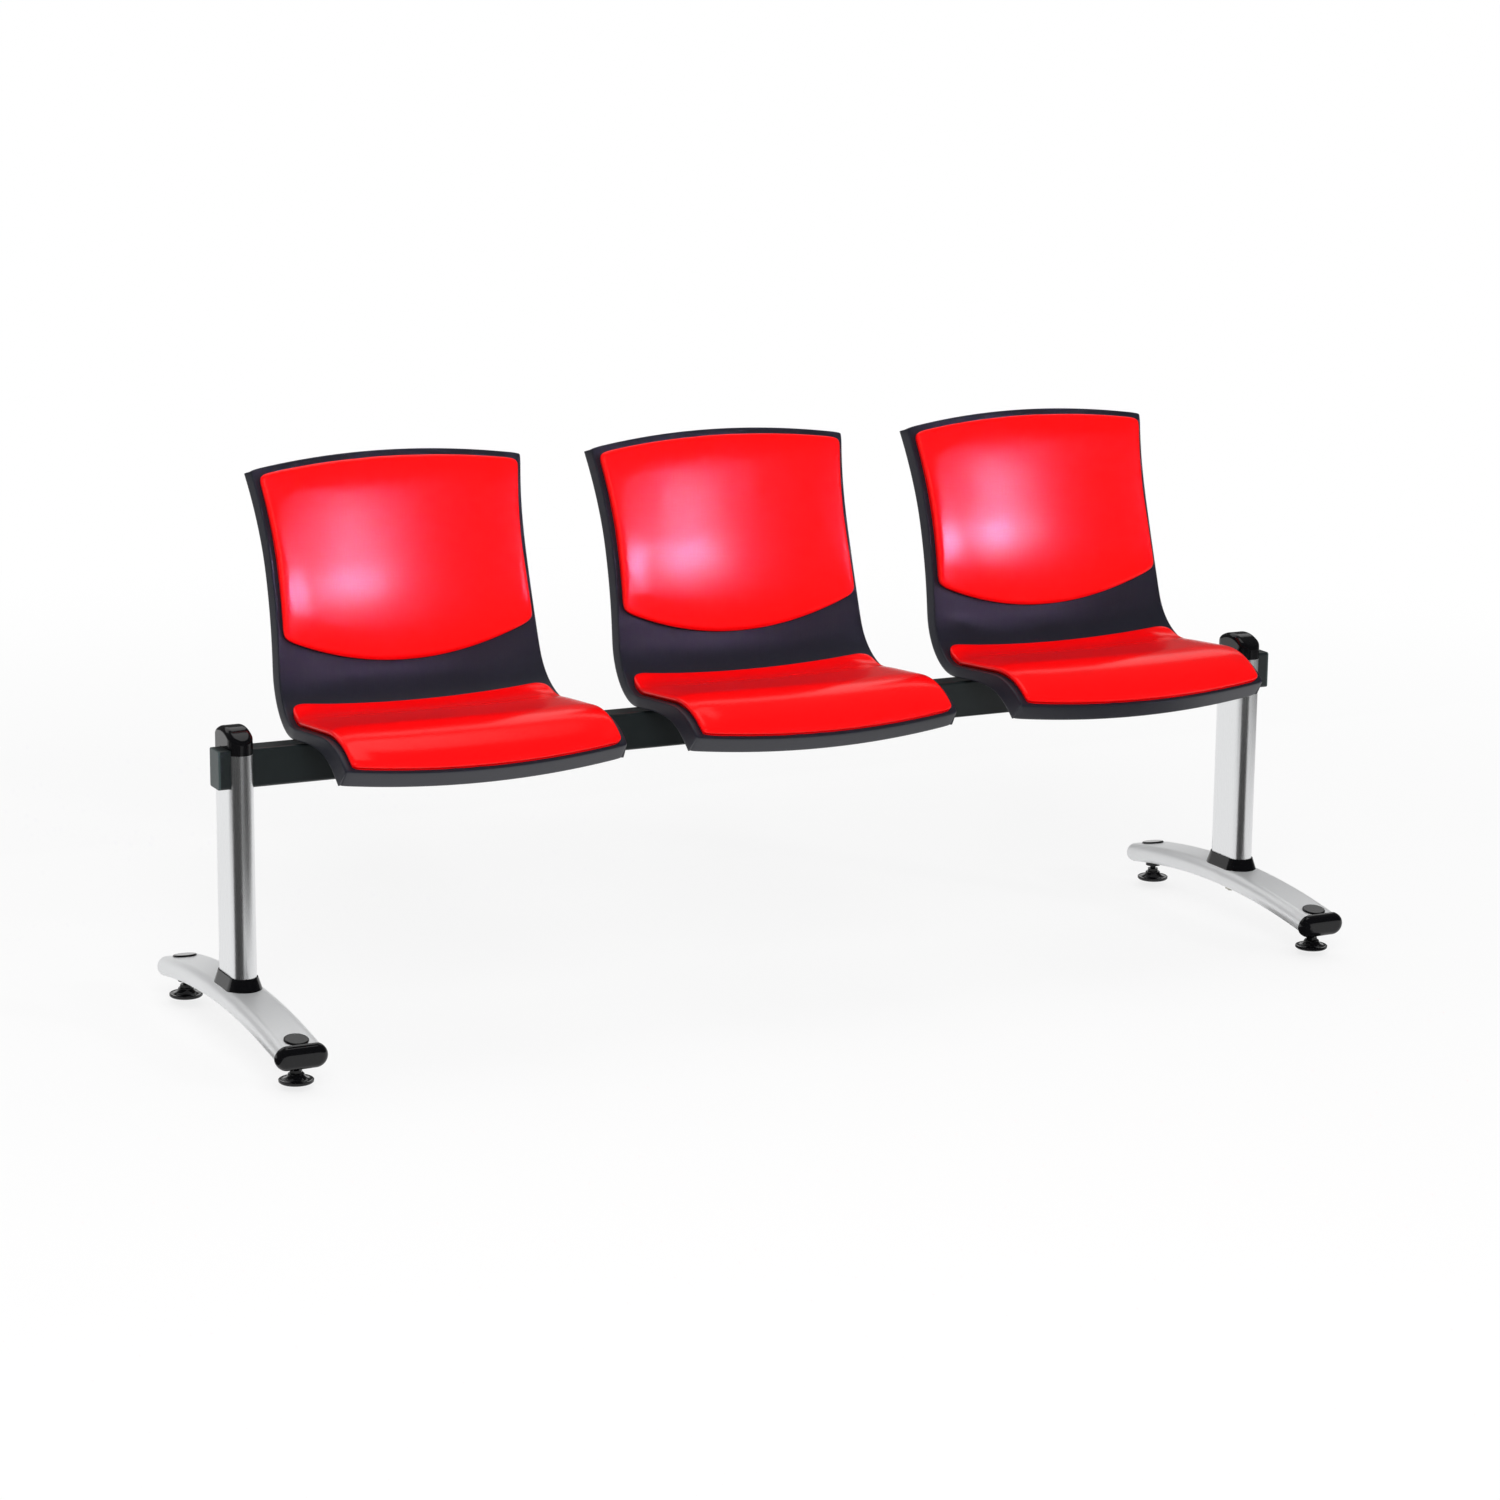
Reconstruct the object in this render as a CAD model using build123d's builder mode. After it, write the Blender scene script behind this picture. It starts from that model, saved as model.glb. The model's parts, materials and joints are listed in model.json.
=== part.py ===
"""Three-seat beam bench for a waiting room.

Frame: millimetres, +Z up, +X along the bench, -Y towards the sitter's knees.
Origin: on the floor, midway between the two legs and midway along the feet.
"""

import math
import os

from build123d import *

# Bench layout
seat_count = 3
seat_pitch = 572.0
beam_underside = 398.0
beam_forward = 15.0

# Beam tube and its end plugs
beam_past_seats = 357.0
beam_height = 60.0
beam_depth = 40.0
beam_wall = 3.0
beam_corner = 4.0
beam_overhang = 34.0
plug_flange = 3.0
plug_reach = 16.0
plug_wall = 2.5
plug_fit = 0.1

# Uprights
upright_width = 40.0
upright_depth = 91.0
upright_wall = 2.0
notch_clearance = 0.3

# Upright caps
cap_skirt = 8.0
cap_shoulder = 12.0
cap_rise = 31.0
cap_wall = 2.5
cap_round = 9.0
cap_tongue = 8.0
cap_fit = 0.2

# Beam saddles, beam bolts and tie rods
saddle_height = 32.0
saddle_fit = 0.2
beam_bolt_d = 8.0
beam_bolt_bite = 22.0
tap_spare = 2.0
beam_bolt_head_d = 13.0
beam_bolt_head = 8.0
tie_rod_d = 10.0
tie_rod_bite = 26.0
tie_rod_tail = 14.0
tie_nut_af = 17.0
tie_nut_height = 8.0
tie_washer_d = 24.0
tie_washer = 2.5
hole_slack = 0.5
thread_chamfer = 0.8
screw_tip_gap = 0.5

# Collars
collar_height = 18.0
collar_skirt = 6.0
collar_lip = 2.0
collar_flare = 10.0
collar_fit = 0.25

# Feet
foot_width = 76.0
foot_height = 32.0
foot_wall = 2.5
foot_arch = 23.5
foot_tube_half = 270.0
end_cap_depth = 16.0
end_cap_round = 12.5
front_cap_lip = 3.0
end_cap_spigot = 6.0
end_cap_fit = 0.2

# Levellers
glide_y = 250.0
glide_d = 53.0
glide_rim = 4.5
glide_bevel = 1.5
glide_waist = 8.0
glide_waist_out = 2.5
glide_hub_d = 25.0
glide_hub = 14.0
glide_hub_bevel = 1.0
glide_floor = 4.0
stem_d = 10.0
stem_bite = 26.0
stem_fit = 0.05
stem_hex_af = 17.0
stem_hex = 5.0
socket_gap = 6.0
socket_drop = 23.8
socket_d = 18.0
socket_flange_d = 25.0
socket_length = 24.0
cover_d = 38.0
cover_height = 3.0
cover_round = 2.0
cover_spigot_d = 16.0
cover_spigot = 6.0

# Seat shell: corners of its side profile as y (forward is negative) and height over the seat's lowest line
profile_top = (196.0, 367.3)
profile_lumbar = (129.5, 182.0)
profile_junction = (84.0, -5.3)
profile_hump = (-164.0, 15.3)
profile_front = (-206.0, -22.2)
lumbar_radius = 1700.0
junction_radius = 90.0
hump_radius = 130.0
shell_wall = 4.0
shell_top_half = 226.0
shell_waist_half = 212.5
shell_seat_half = 231.0
shell_front_half = 228.5
waist_drop = 155.0
top_arch = 21.0
front_bow = 18.0
rim_depth_back = 22.0
rim_depth_seat = 17.0
rim_depth_front = 36.0
rim_flare = 3.0
rim_lead = 60.0
rim_clearance = 1.7
dish_top = 9.0
dish_back = 14.0
dish_junction = 19.0
dish_seat = 5.0
dish_lead = 20.0
dish_front = 2.0
trim_reach = 34.0
station_step = 30.0

# Pads
pad_gap = 0.4
pad_draw = 2.5
pad_overrun = 4.0
back_pad_margin = 8.0
back_pad_top_margin = 11.0
back_pad_low = 262.0
back_pad_smile = 50.0
back_pad_edge = 8.0
back_pad_crown = 18.0
seat_pad_margin = 10.0
seat_pad_rear = 372.0
seat_pad_front_margin = 3.0
seat_pad_edge = 9.0
seat_pad_crown = 17.0
pad_board = 3.0
pad_board_inset = 16.0
pad_board_end = 30.0

# Seat brackets and what holds them
bracket_width = 320.0
bracket_depth = 96.0
bracket_plate = 3.0
bracket_corner = 10.0
clamp_spacing = 200.0
clamp_width = 30.0
clamp_thickness = 6.0
clamp_bolt_d = 8.0
clamp_bolt_side = 8.0
clamp_head_af = 13.0
clamp_head = 5.3
clamp_nut = 6.5
boss_d = 16.0
boss_pitch_x = 270.0
boss_pitch_y = 72.0
shell_screw_d = 6.0
shell_screw_bite = 6.0
shell_screw_head_d = 11.0
shell_screw_head = 3.5

# Pad screws
pad_screw_d = 4.0
pad_screw_head_d = 8.0
pad_screw_head = 2.5
pad_screw_pitch = 240.0
pad_boss_d = 13.0
pad_boss = 3.0
back_screw_high = 110.0
back_screw_low = 205.0
seat_screw_rear = 432.0
seat_screw_front = 540.0

# Places that follow from the sizes above
beam_y = -beam_forward
beam_top = beam_underside + beam_height
seat_xs = [(i - (seat_count - 1) / 2) * seat_pitch for i in range(seat_count)]
beam_end = seat_xs[-1] + beam_past_seats
beam_bore_corner = max(beam_corner - beam_wall, beam_corner / 8)
leg_x = beam_end - beam_overhang
upright_top = beam_top - cap_skirt
leg_sides = {"left": -leg_x, "right": leg_x}
glide_sides = {"front": -glide_y, "rear": glide_y}
foot_radius = (foot_tube_half**2 + foot_arch**2) / (2 * foot_arch)
socket_bottom = glide_hub + stem_fit + stem_hex + socket_gap
stem_top = socket_bottom + stem_bite
foot_bow_z = socket_bottom + socket_drop - math.sqrt(foot_radius**2 - glide_y**2)
foot_apex = foot_bow_z + foot_radius
foot_top = foot_apex + foot_height / 2
foot_under = foot_apex - foot_height / 2
collar_top = foot_top + collar_height
seat_lift = rim_depth_seat + rim_clearance

os.makedirs("parts", exist_ok=True)


def write(piece, label, *places):
    """Write a copy of a piece at each place as one labelled node."""
    with BuildPart() as node:
        with Locations(*places):
            add(piece)
    node.part.label = label
    export_step(node.part, f"parts/{label}.step")


def foot_frame(y, lift):
    """Location on the foot's arch at a given y, lifted off its middle line, +Z away from the arch."""
    lean = math.asin(y / foot_radius)
    reach = foot_radius + lift
    place = (0, reach * math.sin(lean), foot_bow_z + reach * math.cos(lean))
    return Location(place, (-math.degrees(lean), 0, 0))


def along(s, knots):
    """Smoothly eased value at s between the (position, value) knots."""
    if s <= knots[0][0]:
        return knots[0][1]
    for (s0, v0), (s1, v1) in zip(knots, knots[1:]):
        if s <= s1:
            t = (s - s0) / (s1 - s0)
            return v0 + (v1 - v0) * t * t * (3 - 2 * t)
    return knots[-1][1]


# Beam: rectangular tube with a bolt hole over each upright
with BuildPart() as beam:
    with BuildSketch(Plane.YZ):
        with Locations((beam_y, beam_underside + beam_height / 2)):
            RectangleRounded(beam_depth, beam_height, beam_corner)
            RectangleRounded(
                beam_depth - 2 * beam_wall,
                beam_height - 2 * beam_wall,
                beam_bore_corner,
                mode=Mode.SUBTRACT,
            )
    extrude(amount=beam_end, both=True)
    with Locations(*[(x, beam_y, beam_top) for x in leg_sides.values()]):
        Cylinder(
            beam_bolt_d / 2 + hole_slack,
            3 * beam_height,
            mode=Mode.SUBTRACT,
        )
write(beam.part, "beam", (0, 0, 0))

# Beam end plug: a flange as large as the beam and a hollow spigot inside it
with BuildPart() as beam_plug:
    with BuildSketch(Plane.YZ):
        RectangleRounded(beam_depth, beam_height, beam_corner)
    extrude(amount=plug_flange)
    fillet(beam_plug.faces().sort_by(Axis.X)[-1].edges(), plug_flange / 3)
    with BuildSketch(Plane.YZ):
        spigot_depth = beam_depth - 2 * beam_wall - 2 * plug_fit
        spigot_height = beam_height - 2 * beam_wall - 2 * plug_fit
        RectangleRounded(spigot_depth, spigot_height, beam_bore_corner)
        Rectangle(
            spigot_depth - 2 * plug_wall,
            spigot_height - 2 * plug_wall,
            mode=Mode.SUBTRACT,
        )
    extrude(amount=-plug_reach)
beam_mid_z = beam_underside + beam_height / 2
write(beam_plug.part, "beam_end_plug_right", (beam_end, beam_y, beam_mid_z))
write(beam_plug.part, "beam_end_plug_left", Location((-beam_end, beam_y, beam_mid_z), (0, 0, 180)))

# Solid outer form of an arched foot, used to shape what stands on it
with BuildPart() as foot_form:
    with BuildLine(Plane.YZ) as foot_path:
        ThreePointArc(
            (-foot_tube_half, foot_apex - foot_arch),
            (0, foot_apex),
            (foot_tube_half, foot_apex - foot_arch),
        )
    with BuildSketch(Plane(foot_path.line @ 0, x_dir=(1, 0, 0), z_dir=foot_path.line % 0)):
        SlotOverall(foot_width, foot_height)
    sweep(path=foot_path.line)

# Foot: the same form as a tube, with holes for the tie rod, the leveller sockets and the covers
with BuildPart() as foot:
    add(foot_form.part)
    with BuildSketch(Plane(foot_path.line @ 0, x_dir=(1, 0, 0), z_dir=foot_path.line % 0)):
        SlotOverall(foot_width - 2 * foot_wall, foot_height - 2 * foot_wall)
    sweep(path=foot_path.line, mode=Mode.SUBTRACT)
    with Locations((0, 0, foot_apex)):
        Cylinder(tie_rod_d / 2 + hole_slack, 2 * foot_height, mode=Mode.SUBTRACT)
    for y in glide_sides.values():
        with Locations((0, y, socket_bottom)):
            Cylinder(
                socket_d / 2,
                socket_length,
                align=(Align.CENTER, Align.CENTER, Align.MIN),
                mode=Mode.SUBTRACT,
            )
        with Locations(foot_frame(y, foot_height / 2 - foot_wall / 2)):
            Cylinder(cover_spigot_d / 2, 2 * foot_wall, mode=Mode.SUBTRACT)


def end_cap(lip):
    """Bull-nose plug on the front end of the foot's tube, standing proud of the tube by lip."""
    front_end = Plane(foot_path.line @ 0, x_dir=(1, 0, 0), z_dir=-(foot_path.line % 0))
    with BuildPart() as plug:
        with BuildSketch(front_end):
            SlotOverall(foot_width + 2 * lip, foot_height + 2 * lip)
        extrude(amount=end_cap_depth)
        fillet(plug.faces().sort_by(Axis.Y)[0].edges(), end_cap_round)
        with BuildSketch(front_end):
            SlotOverall(
                foot_width - 2 * foot_wall - 2 * end_cap_fit,
                foot_height - 2 * foot_wall - 2 * end_cap_fit,
            )
        extrude(amount=-end_cap_spigot)
    return plug.part


front_cap = end_cap(front_cap_lip)
rear_cap = end_cap(0)

# Leveller cover: low button on the foot, with a spigot through the foot's top wall
leveller_covers = {}
for end, y in glide_sides.items():
    with BuildPart() as cover:
        with Locations(foot_frame(y, foot_height / 2)):
            Cylinder(cover_d / 2, 2 * cover_height)
        top_rim = cover.edges().filter_by(GeomType.CIRCLE).sort_by(Axis.Z)[-1]
        fillet(top_rim, cover_round)
        add(foot_form.part, mode=Mode.SUBTRACT)
        with Locations(foot_frame(y, foot_height / 2 - cover_spigot)):
            Cylinder(
                cover_spigot_d / 2,
                cover_spigot + cover_height / 2,
                align=(Align.CENTER, Align.CENTER, Align.MIN),
            )
    leveller_covers[end] = cover.part

# Leveller socket: threaded sleeve through the foot's lower wall, its flange cut to the foot
leveller_sockets = {}
for end, y in glide_sides.items():
    with BuildPart() as socket:
        with Locations((0, y, socket_bottom)):
            Cylinder(
                socket_flange_d / 2,
                foot_height / 2,
                align=(Align.CENTER, Align.CENTER, Align.MIN),
            )
        add(foot_form.part, mode=Mode.SUBTRACT)
        with Locations((0, y, socket_bottom)):
            Cylinder(
                socket_d / 2,
                socket_length,
                align=(Align.CENTER, Align.CENTER, Align.MIN),
            )
            Cylinder(stem_d / 2 + stem_fit, 3 * socket_length, mode=Mode.SUBTRACT)
    leveller_sockets[end] = socket.part

# Leveller glide: disc with a hub that the stem turns in
with BuildPart() as glide:
    with BuildSketch(Plane.XZ):
        with BuildLine():
            rim = glide_d / 2
            hub = glide_hub_d / 2
            rim_top = (rim - glide_bevel, glide_rim + glide_bevel / 2)
            hub_side = (hub, glide_hub - glide_hub_bevel)
            Polyline((0, 0), (rim - glide_bevel, 0), (rim, glide_bevel), (rim, glide_rim), rim_top)
            ThreePointArc(rim_top, (hub + glide_waist_out, glide_waist), hub_side)
            Polyline(hub_side, (hub - glide_hub_bevel, glide_hub), (0, glide_hub), (0, 0))
        make_face()
    revolve(axis=Axis.Z)
    with Locations((0, 0, glide_floor)):
        Cylinder(
            stem_d / 2 + stem_fit,
            glide_hub,
            align=(Align.CENTER, Align.CENTER, Align.MIN),
            mode=Mode.SUBTRACT,
        )

# Leveller stem: threaded rod with a hexagon that rests on the glide's hub
with BuildPart() as stem:
    with Locations((0, 0, glide_floor + stem_fit)):
        Cylinder(
            stem_d / 2,
            stem_top - glide_floor - stem_fit,
            align=(Align.CENTER, Align.CENTER, Align.MIN),
        )
    chamfer(stem.edges().filter_by(GeomType.CIRCLE), thread_chamfer)
    with BuildSketch(Plane.XY.offset(glide_hub + stem_fit)):
        RegularPolygon(stem_hex_af / 2, 6, major_radius=False)
    extrude(amount=stem_hex)

# Upright: flat-oval tube coped on the foot and notched for the beam
with BuildPart() as upright:
    with BuildSketch(Plane.XY.offset(foot_apex)):
        SlotOverall(upright_depth, upright_width, rotation=90)
        SlotOverall(
            upright_depth - 2 * upright_wall,
            upright_width - 2 * upright_wall,
            rotation=90,
            mode=Mode.SUBTRACT,
        )
    extrude(amount=upright_top - foot_apex)
    add(foot_form.part, mode=Mode.SUBTRACT)
    with Locations((0, beam_y, beam_underside)):
        Box(
            2 * upright_width,
            beam_depth + 2 * notch_clearance,
            2 * beam_height,
            align=(Align.CENTER, Align.CENTER, Align.MIN),
            mode=Mode.SUBTRACT,
        )

# Beam saddle: plug in the upright that carries the beam, tapped for the beam bolt and the tie rod
with BuildPart() as saddle:
    with BuildSketch(Plane.XY.offset(beam_underside)):
        SlotOverall(
            upright_depth - 2 * upright_wall - 2 * saddle_fit,
            upright_width - 2 * upright_wall - 2 * saddle_fit,
            rotation=90,
        )
    extrude(amount=-saddle_height)
    with Locations((0, beam_y, beam_underside)):
        Cylinder(beam_bolt_d / 2, 2 * (beam_bolt_bite + tap_spare), mode=Mode.SUBTRACT)
    with Locations((0, 0, beam_underside - saddle_height)):
        Cylinder(tie_rod_d / 2, 2 * tie_rod_bite, mode=Mode.SUBTRACT)

# Beam bolt: cap screw down through the beam into the saddle
with BuildPart() as beam_bolt:
    with Locations((0, beam_y, beam_underside - beam_bolt_bite)):
        Cylinder(
            beam_bolt_d / 2,
            beam_bolt_bite + beam_height,
            align=(Align.CENTER, Align.CENTER, Align.MIN),
        )
    with Locations((0, beam_y, beam_top)):
        Cylinder(
            beam_bolt_head_d / 2,
            beam_bolt_head,
            align=(Align.CENTER, Align.CENTER, Align.MIN),
        )
    chamfer(beam_bolt.edges().filter_by(GeomType.CIRCLE).sort_by(Axis.Z)[-1], thread_chamfer)

# Tie rod: threaded rod from under the foot up into the saddle
rod_bottom = foot_under - tie_rod_tail
with BuildPart() as tie_rod:
    with Locations((0, 0, rod_bottom)):
        Cylinder(
            tie_rod_d / 2,
            beam_underside - saddle_height + tie_rod_bite - rod_bottom,
            align=(Align.CENTER, Align.CENTER, Align.MIN),
        )
    chamfer(tie_rod.edges().filter_by(GeomType.CIRCLE), thread_chamfer)

# Washer and nut of the tie rod
with BuildPart() as tie_rod_washer:
    with Locations((0, 0, foot_under - tie_washer)):
        Cylinder(
            tie_washer_d / 2,
            tie_washer + foot_wall,
            align=(Align.CENTER, Align.CENTER, Align.MIN),
        )
    add(foot_form.part, mode=Mode.SUBTRACT)
    with Locations((0, 0, foot_under)):
        Cylinder(tie_rod_d / 2 + hole_slack, 4 * tie_washer, mode=Mode.SUBTRACT)
with BuildPart() as tie_rod_nut:
    with BuildSketch(Plane.XY.offset(foot_under - tie_washer)):
        RegularPolygon(tie_nut_af / 2, 6, major_radius=False)
        Circle(tie_rod_d / 2, mode=Mode.SUBTRACT)
    extrude(amount=-tie_nut_height)

# Upright cap: arched cover over the notch, hollow, with a tongue behind the beam
with BuildPart() as upright_cap:
    half_depth = upright_depth / 2
    with BuildSketch(Plane.XY.offset(upright_top)):
        SlotOverall(upright_depth, upright_width, rotation=90)
    extrude(amount=cap_skirt + cap_rise)
    with BuildSketch(Plane.YZ):
        with BuildLine():
            shoulder = beam_top + cap_shoulder
            ThreePointArc((-half_depth, shoulder), (0, beam_top + cap_rise), (half_depth, shoulder))
            Polyline(
                (half_depth, shoulder),
                (half_depth, upright_top),
                (-half_depth, upright_top),
                (-half_depth, shoulder),
            )
        make_face()
    extrude(amount=upright_width, both=True, mode=Mode.INTERSECT)
    roof = upright_cap.faces().filter_by(GeomType.CYLINDER).sort_by(Axis.Z)[-1]
    fillet(roof.edges(), cap_round)
with BuildPart() as cap_hollow:
    with BuildSketch(Plane.XY.offset(upright_top)):
        SlotOverall(upright_depth - 2 * cap_wall, upright_width - 2 * cap_wall, rotation=90)
    extrude(amount=cap_skirt + cap_rise)
    with BuildSketch(Plane.YZ):
        with BuildLine():
            inner_half = half_depth - cap_wall
            inner_shoulder = shoulder - cap_wall
            inner_top = beam_top + cap_rise - cap_wall
            ThreePointArc((-inner_half, inner_shoulder), (0, inner_top), (inner_half, inner_shoulder))
            Polyline(
                (inner_half, inner_shoulder),
                (inner_half, upright_top),
                (-inner_half, upright_top),
                (-inner_half, inner_shoulder),
            )
        make_face()
    extrude(amount=upright_width, both=True, mode=Mode.INTERSECT)
    ceiling = cap_hollow.faces().filter_by(GeomType.CYLINDER).sort_by(Axis.Z)[-1]
    fillet(ceiling.edges(), cap_round - cap_wall)
with BuildPart() as cap:
    add(upright_cap.part)
    add(cap_hollow.part, mode=Mode.SUBTRACT)
    with BuildSketch(Plane.XY.offset(upright_top - cap_tongue)):
        SlotOverall(
            upright_depth - 2 * upright_wall - 2 * cap_fit,
            upright_width - 2 * upright_wall - 2 * cap_fit,
            rotation=90,
        )
        SlotOverall(
            upright_depth - 2 * upright_wall - 2 * cap_wall,
            upright_width - 2 * upright_wall - 2 * cap_wall,
            rotation=90,
            mode=Mode.SUBTRACT,
        )
    extrude(amount=cap_tongue + cap_skirt)
    with Locations((0, beam_y, beam_top + notch_clearance)):
        Box(
            2 * upright_width,
            beam_depth + 2 * notch_clearance,
            2 * beam_height,
            align=(Align.CENTER, Align.CENTER, Align.MAX),
            mode=Mode.SUBTRACT,
        )

# Collar: flared trim round the upright, cut to the top of the foot
with BuildPart() as collar:
    with BuildSketch(Plane.XY.offset(foot_top - collar_skirt)):
        SlotOverall(
            upright_depth + 2 * collar_flare,
            upright_width + 2 * collar_flare,
            rotation=90,
        )
    with BuildSketch(Plane.XY.offset(collar_top)):
        SlotOverall(upright_depth + 2 * collar_lip, upright_width + 2 * collar_lip, rotation=90)
    loft()
    with BuildSketch(Plane.XY.offset(collar_top)):
        SlotOverall(upright_depth + 2 * collar_fit, upright_width + 2 * collar_fit, rotation=90)
    extrude(amount=-collar_top, mode=Mode.SUBTRACT)
    add(foot_form.part, mode=Mode.SUBTRACT)

for side, x in leg_sides.items():
    write(foot.part, f"foot_{side}", (x, 0, 0))
    write(front_cap, f"foot_front_cap_{side}", (x, 0, 0))
    write(rear_cap, f"foot_rear_cap_{side}", Location((x, 0, 0), (0, 0, 180)))
    write(upright.part, f"upright_{side}", (x, 0, 0))
    write(cap.part, f"upright_cap_{side}", (x, 0, 0))
    write(collar.part, f"collar_{side}", (x, 0, 0))
    for end, y in glide_sides.items():
        write(leveller_covers[end], f"leveller_cover_{end}_{side}", (x, 0, 0))
        write(leveller_sockets[end], f"leveller_socket_{end}_{side}", (x, 0, 0))
        write(glide.part, f"leveller_glide_{end}_{side}", (x, y, 0))
        write(stem.part, f"leveller_stem_{end}_{side}", (x, y, 0))
leg_places = [(x, 0, 0) for x in leg_sides.values()]
write(saddle.part, "beam_saddles", *leg_places)
write(beam_bolt.part, "beam_bolts", *leg_places)
write(tie_rod.part, "tie_rods", *leg_places)
write(tie_rod_washer.part, "tie_rod_washers", *leg_places)
write(tie_rod_nut.part, "tie_rod_nuts", *leg_places)


def beyond(tip, root, reach):
    """Point that lies past a profile's tip, in line with the corner before it."""
    run_y = tip[0] - root[0]
    run_z = tip[1] - root[1]
    scale = reach / math.hypot(run_y, run_z)
    return (tip[0] + run_y * scale, tip[1] + run_z * scale)


# Side profile of the seat shell, run on past both ends so that the edges can be trimmed to their arcs
with BuildLine(Plane.YZ) as profile:
    corners = [
        beyond(profile_top, profile_lumbar, trim_reach),
        profile_lumbar,
        profile_junction,
        profile_hump,
        beyond(profile_front, profile_hump, trim_reach),
    ]
    FilletPolyline(
        *[(y, z + seat_lift) for y, z in corners],
        radius=(lumbar_radius, junction_radius, hump_radius),
    )
profile_line = profile.wire()
profile_edges = profile_line.edges().sort_by(profile_line)
shell_length = profile_line.length - 2 * trim_reach
lengths = [edge.length for edge in profile_edges]
junction_start = sum(lengths[:3]) - trim_reach
junction_end = sum(lengths[:4]) - trim_reach
junction_mid = (junction_start + junction_end) / 2


def station(s):
    """Section plane across the shell at s along its profile from the top edge, +Y out of the front face."""
    place = profile_line.position_at(s + trim_reach, PositionMode.LENGTH)
    heading = profile_line.tangent_at(s + trim_reach, PositionMode.LENGTH)
    return Plane(place, x_dir=(1, 0, 0), z_dir=heading)


def facing(s):
    """Plane lying on the shell's front face at s, +Y up the profile and +Z out of the face."""
    across = station(s)
    return Plane(across.origin, x_dir=(1, 0, 0), z_dir=across.y_dir)


def half_width(s):
    """Half width of the shell: waisted back, wider seat, slightly narrower front."""
    if s < waist_drop:
        flare = (waist_drop - s) / waist_drop
        return shell_waist_half + (shell_top_half - shell_waist_half) * flare**2
    if s < junction_end:
        flare = (s - waist_drop) / (junction_end - waist_drop)
        return shell_waist_half + (shell_seat_half - shell_waist_half) * flare**2
    taper = (s - junction_end) / (shell_length - junction_end)
    return shell_seat_half + (shell_front_half - shell_seat_half) * taper


def dish(s):
    """How far the middle of the shell lies behind its sides."""
    return along(
        s,
        [
            (0, dish_top),
            (waist_drop, dish_back),
            (junction_mid, dish_junction),
            (junction_end + dish_lead, dish_seat),
            (shell_length, dish_front),
        ],
    )


def rim_depth(s):
    """Depth of the turned-back rim."""
    return along(
        s,
        [
            (junction_start, rim_depth_back),
            (junction_end, rim_depth_seat),
            (junction_end + rim_lead, rim_depth_seat),
            (shell_length, rim_depth_front),
        ],
    )


def face_height(s, x):
    """Height of the front face over the section plane's X axis, at x off the middle."""
    half = half_width(s)
    bend = (half**2 + dish(s) ** 2) / (2 * dish(s))
    return bend - dish(s) - math.sqrt(bend**2 - x**2)


def spread(start, end):
    """Stations from start to end, on one grid that the shell and its pads share."""
    first = math.ceil((start + station_step / 3) / station_step)
    last = math.floor((end - station_step / 3) / station_step)
    return [start, *[i * station_step for i in range(first, last + 1)], end]


def band(s, half, half_back, low, high_edge, high_mid):
    """Closed section over the shell's face: a lower arc along it and an upper arc that may crown."""
    edge = face_height(s, half)
    middle = face_height(s, 0)
    with BuildSketch(station(s)) as section:
        with BuildLine():
            ThreePointArc((-half, edge + high_edge), (0, middle + high_mid), (half, edge + high_edge))
            Line((half, edge + high_edge), (half_back, edge + low))
            ThreePointArc((half_back, edge + low), (0, middle + low), (-half_back, edge + low))
            Line((-half_back, edge + low), (-half, edge + high_edge))
        make_face()
    return section.sketch


def cushion(s, half, edge_height, crown_height):
    """Closed section of a pad on the shell's face: crowned over the middle and drawn in at the sides."""
    edge = face_height(s, half)
    middle = face_height(s, 0)
    foot_half = half - pad_draw
    swell = (half, edge + edge_height / 2)
    with BuildSketch(station(s)) as section:
        with BuildLine():
            ThreePointArc(
                (-foot_half, edge + edge_height),
                (0, middle + crown_height),
                (foot_half, edge + edge_height),
            )
            ThreePointArc((foot_half, edge + edge_height), swell, (foot_half, edge + pad_gap))
            ThreePointArc((foot_half, edge + pad_gap), (0, middle + pad_gap), (-foot_half, edge + pad_gap))
            ThreePointArc((-foot_half, edge + pad_gap), (-half, swell[1]), (-foot_half, edge + edge_height))
        make_face()
    return section.sketch


def end_trim(s, half, swell, side, clearance):
    """Solid past an arched end: side is +1 above the top edge and -1 below the front edge."""
    swing = 3 * trim_reach
    with BuildPart() as trim:
        with BuildSketch(facing(s)):
            with BuildLine():
                near = -side * clearance
                far = side * swing
                ThreePointArc((-half, near), (0, near + side * swell), (half, near))
                Polyline(
                    (half, near),
                    (half + swing, near - side * swing * swell / half),
                    (half + swing, far),
                    (-half - swing, far),
                    (-half - swing, near - side * swing * swell / half),
                    (-half, near),
                )
            make_face()
        extrude(amount=2 * trim_reach, both=True)
    return trim.part


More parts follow.
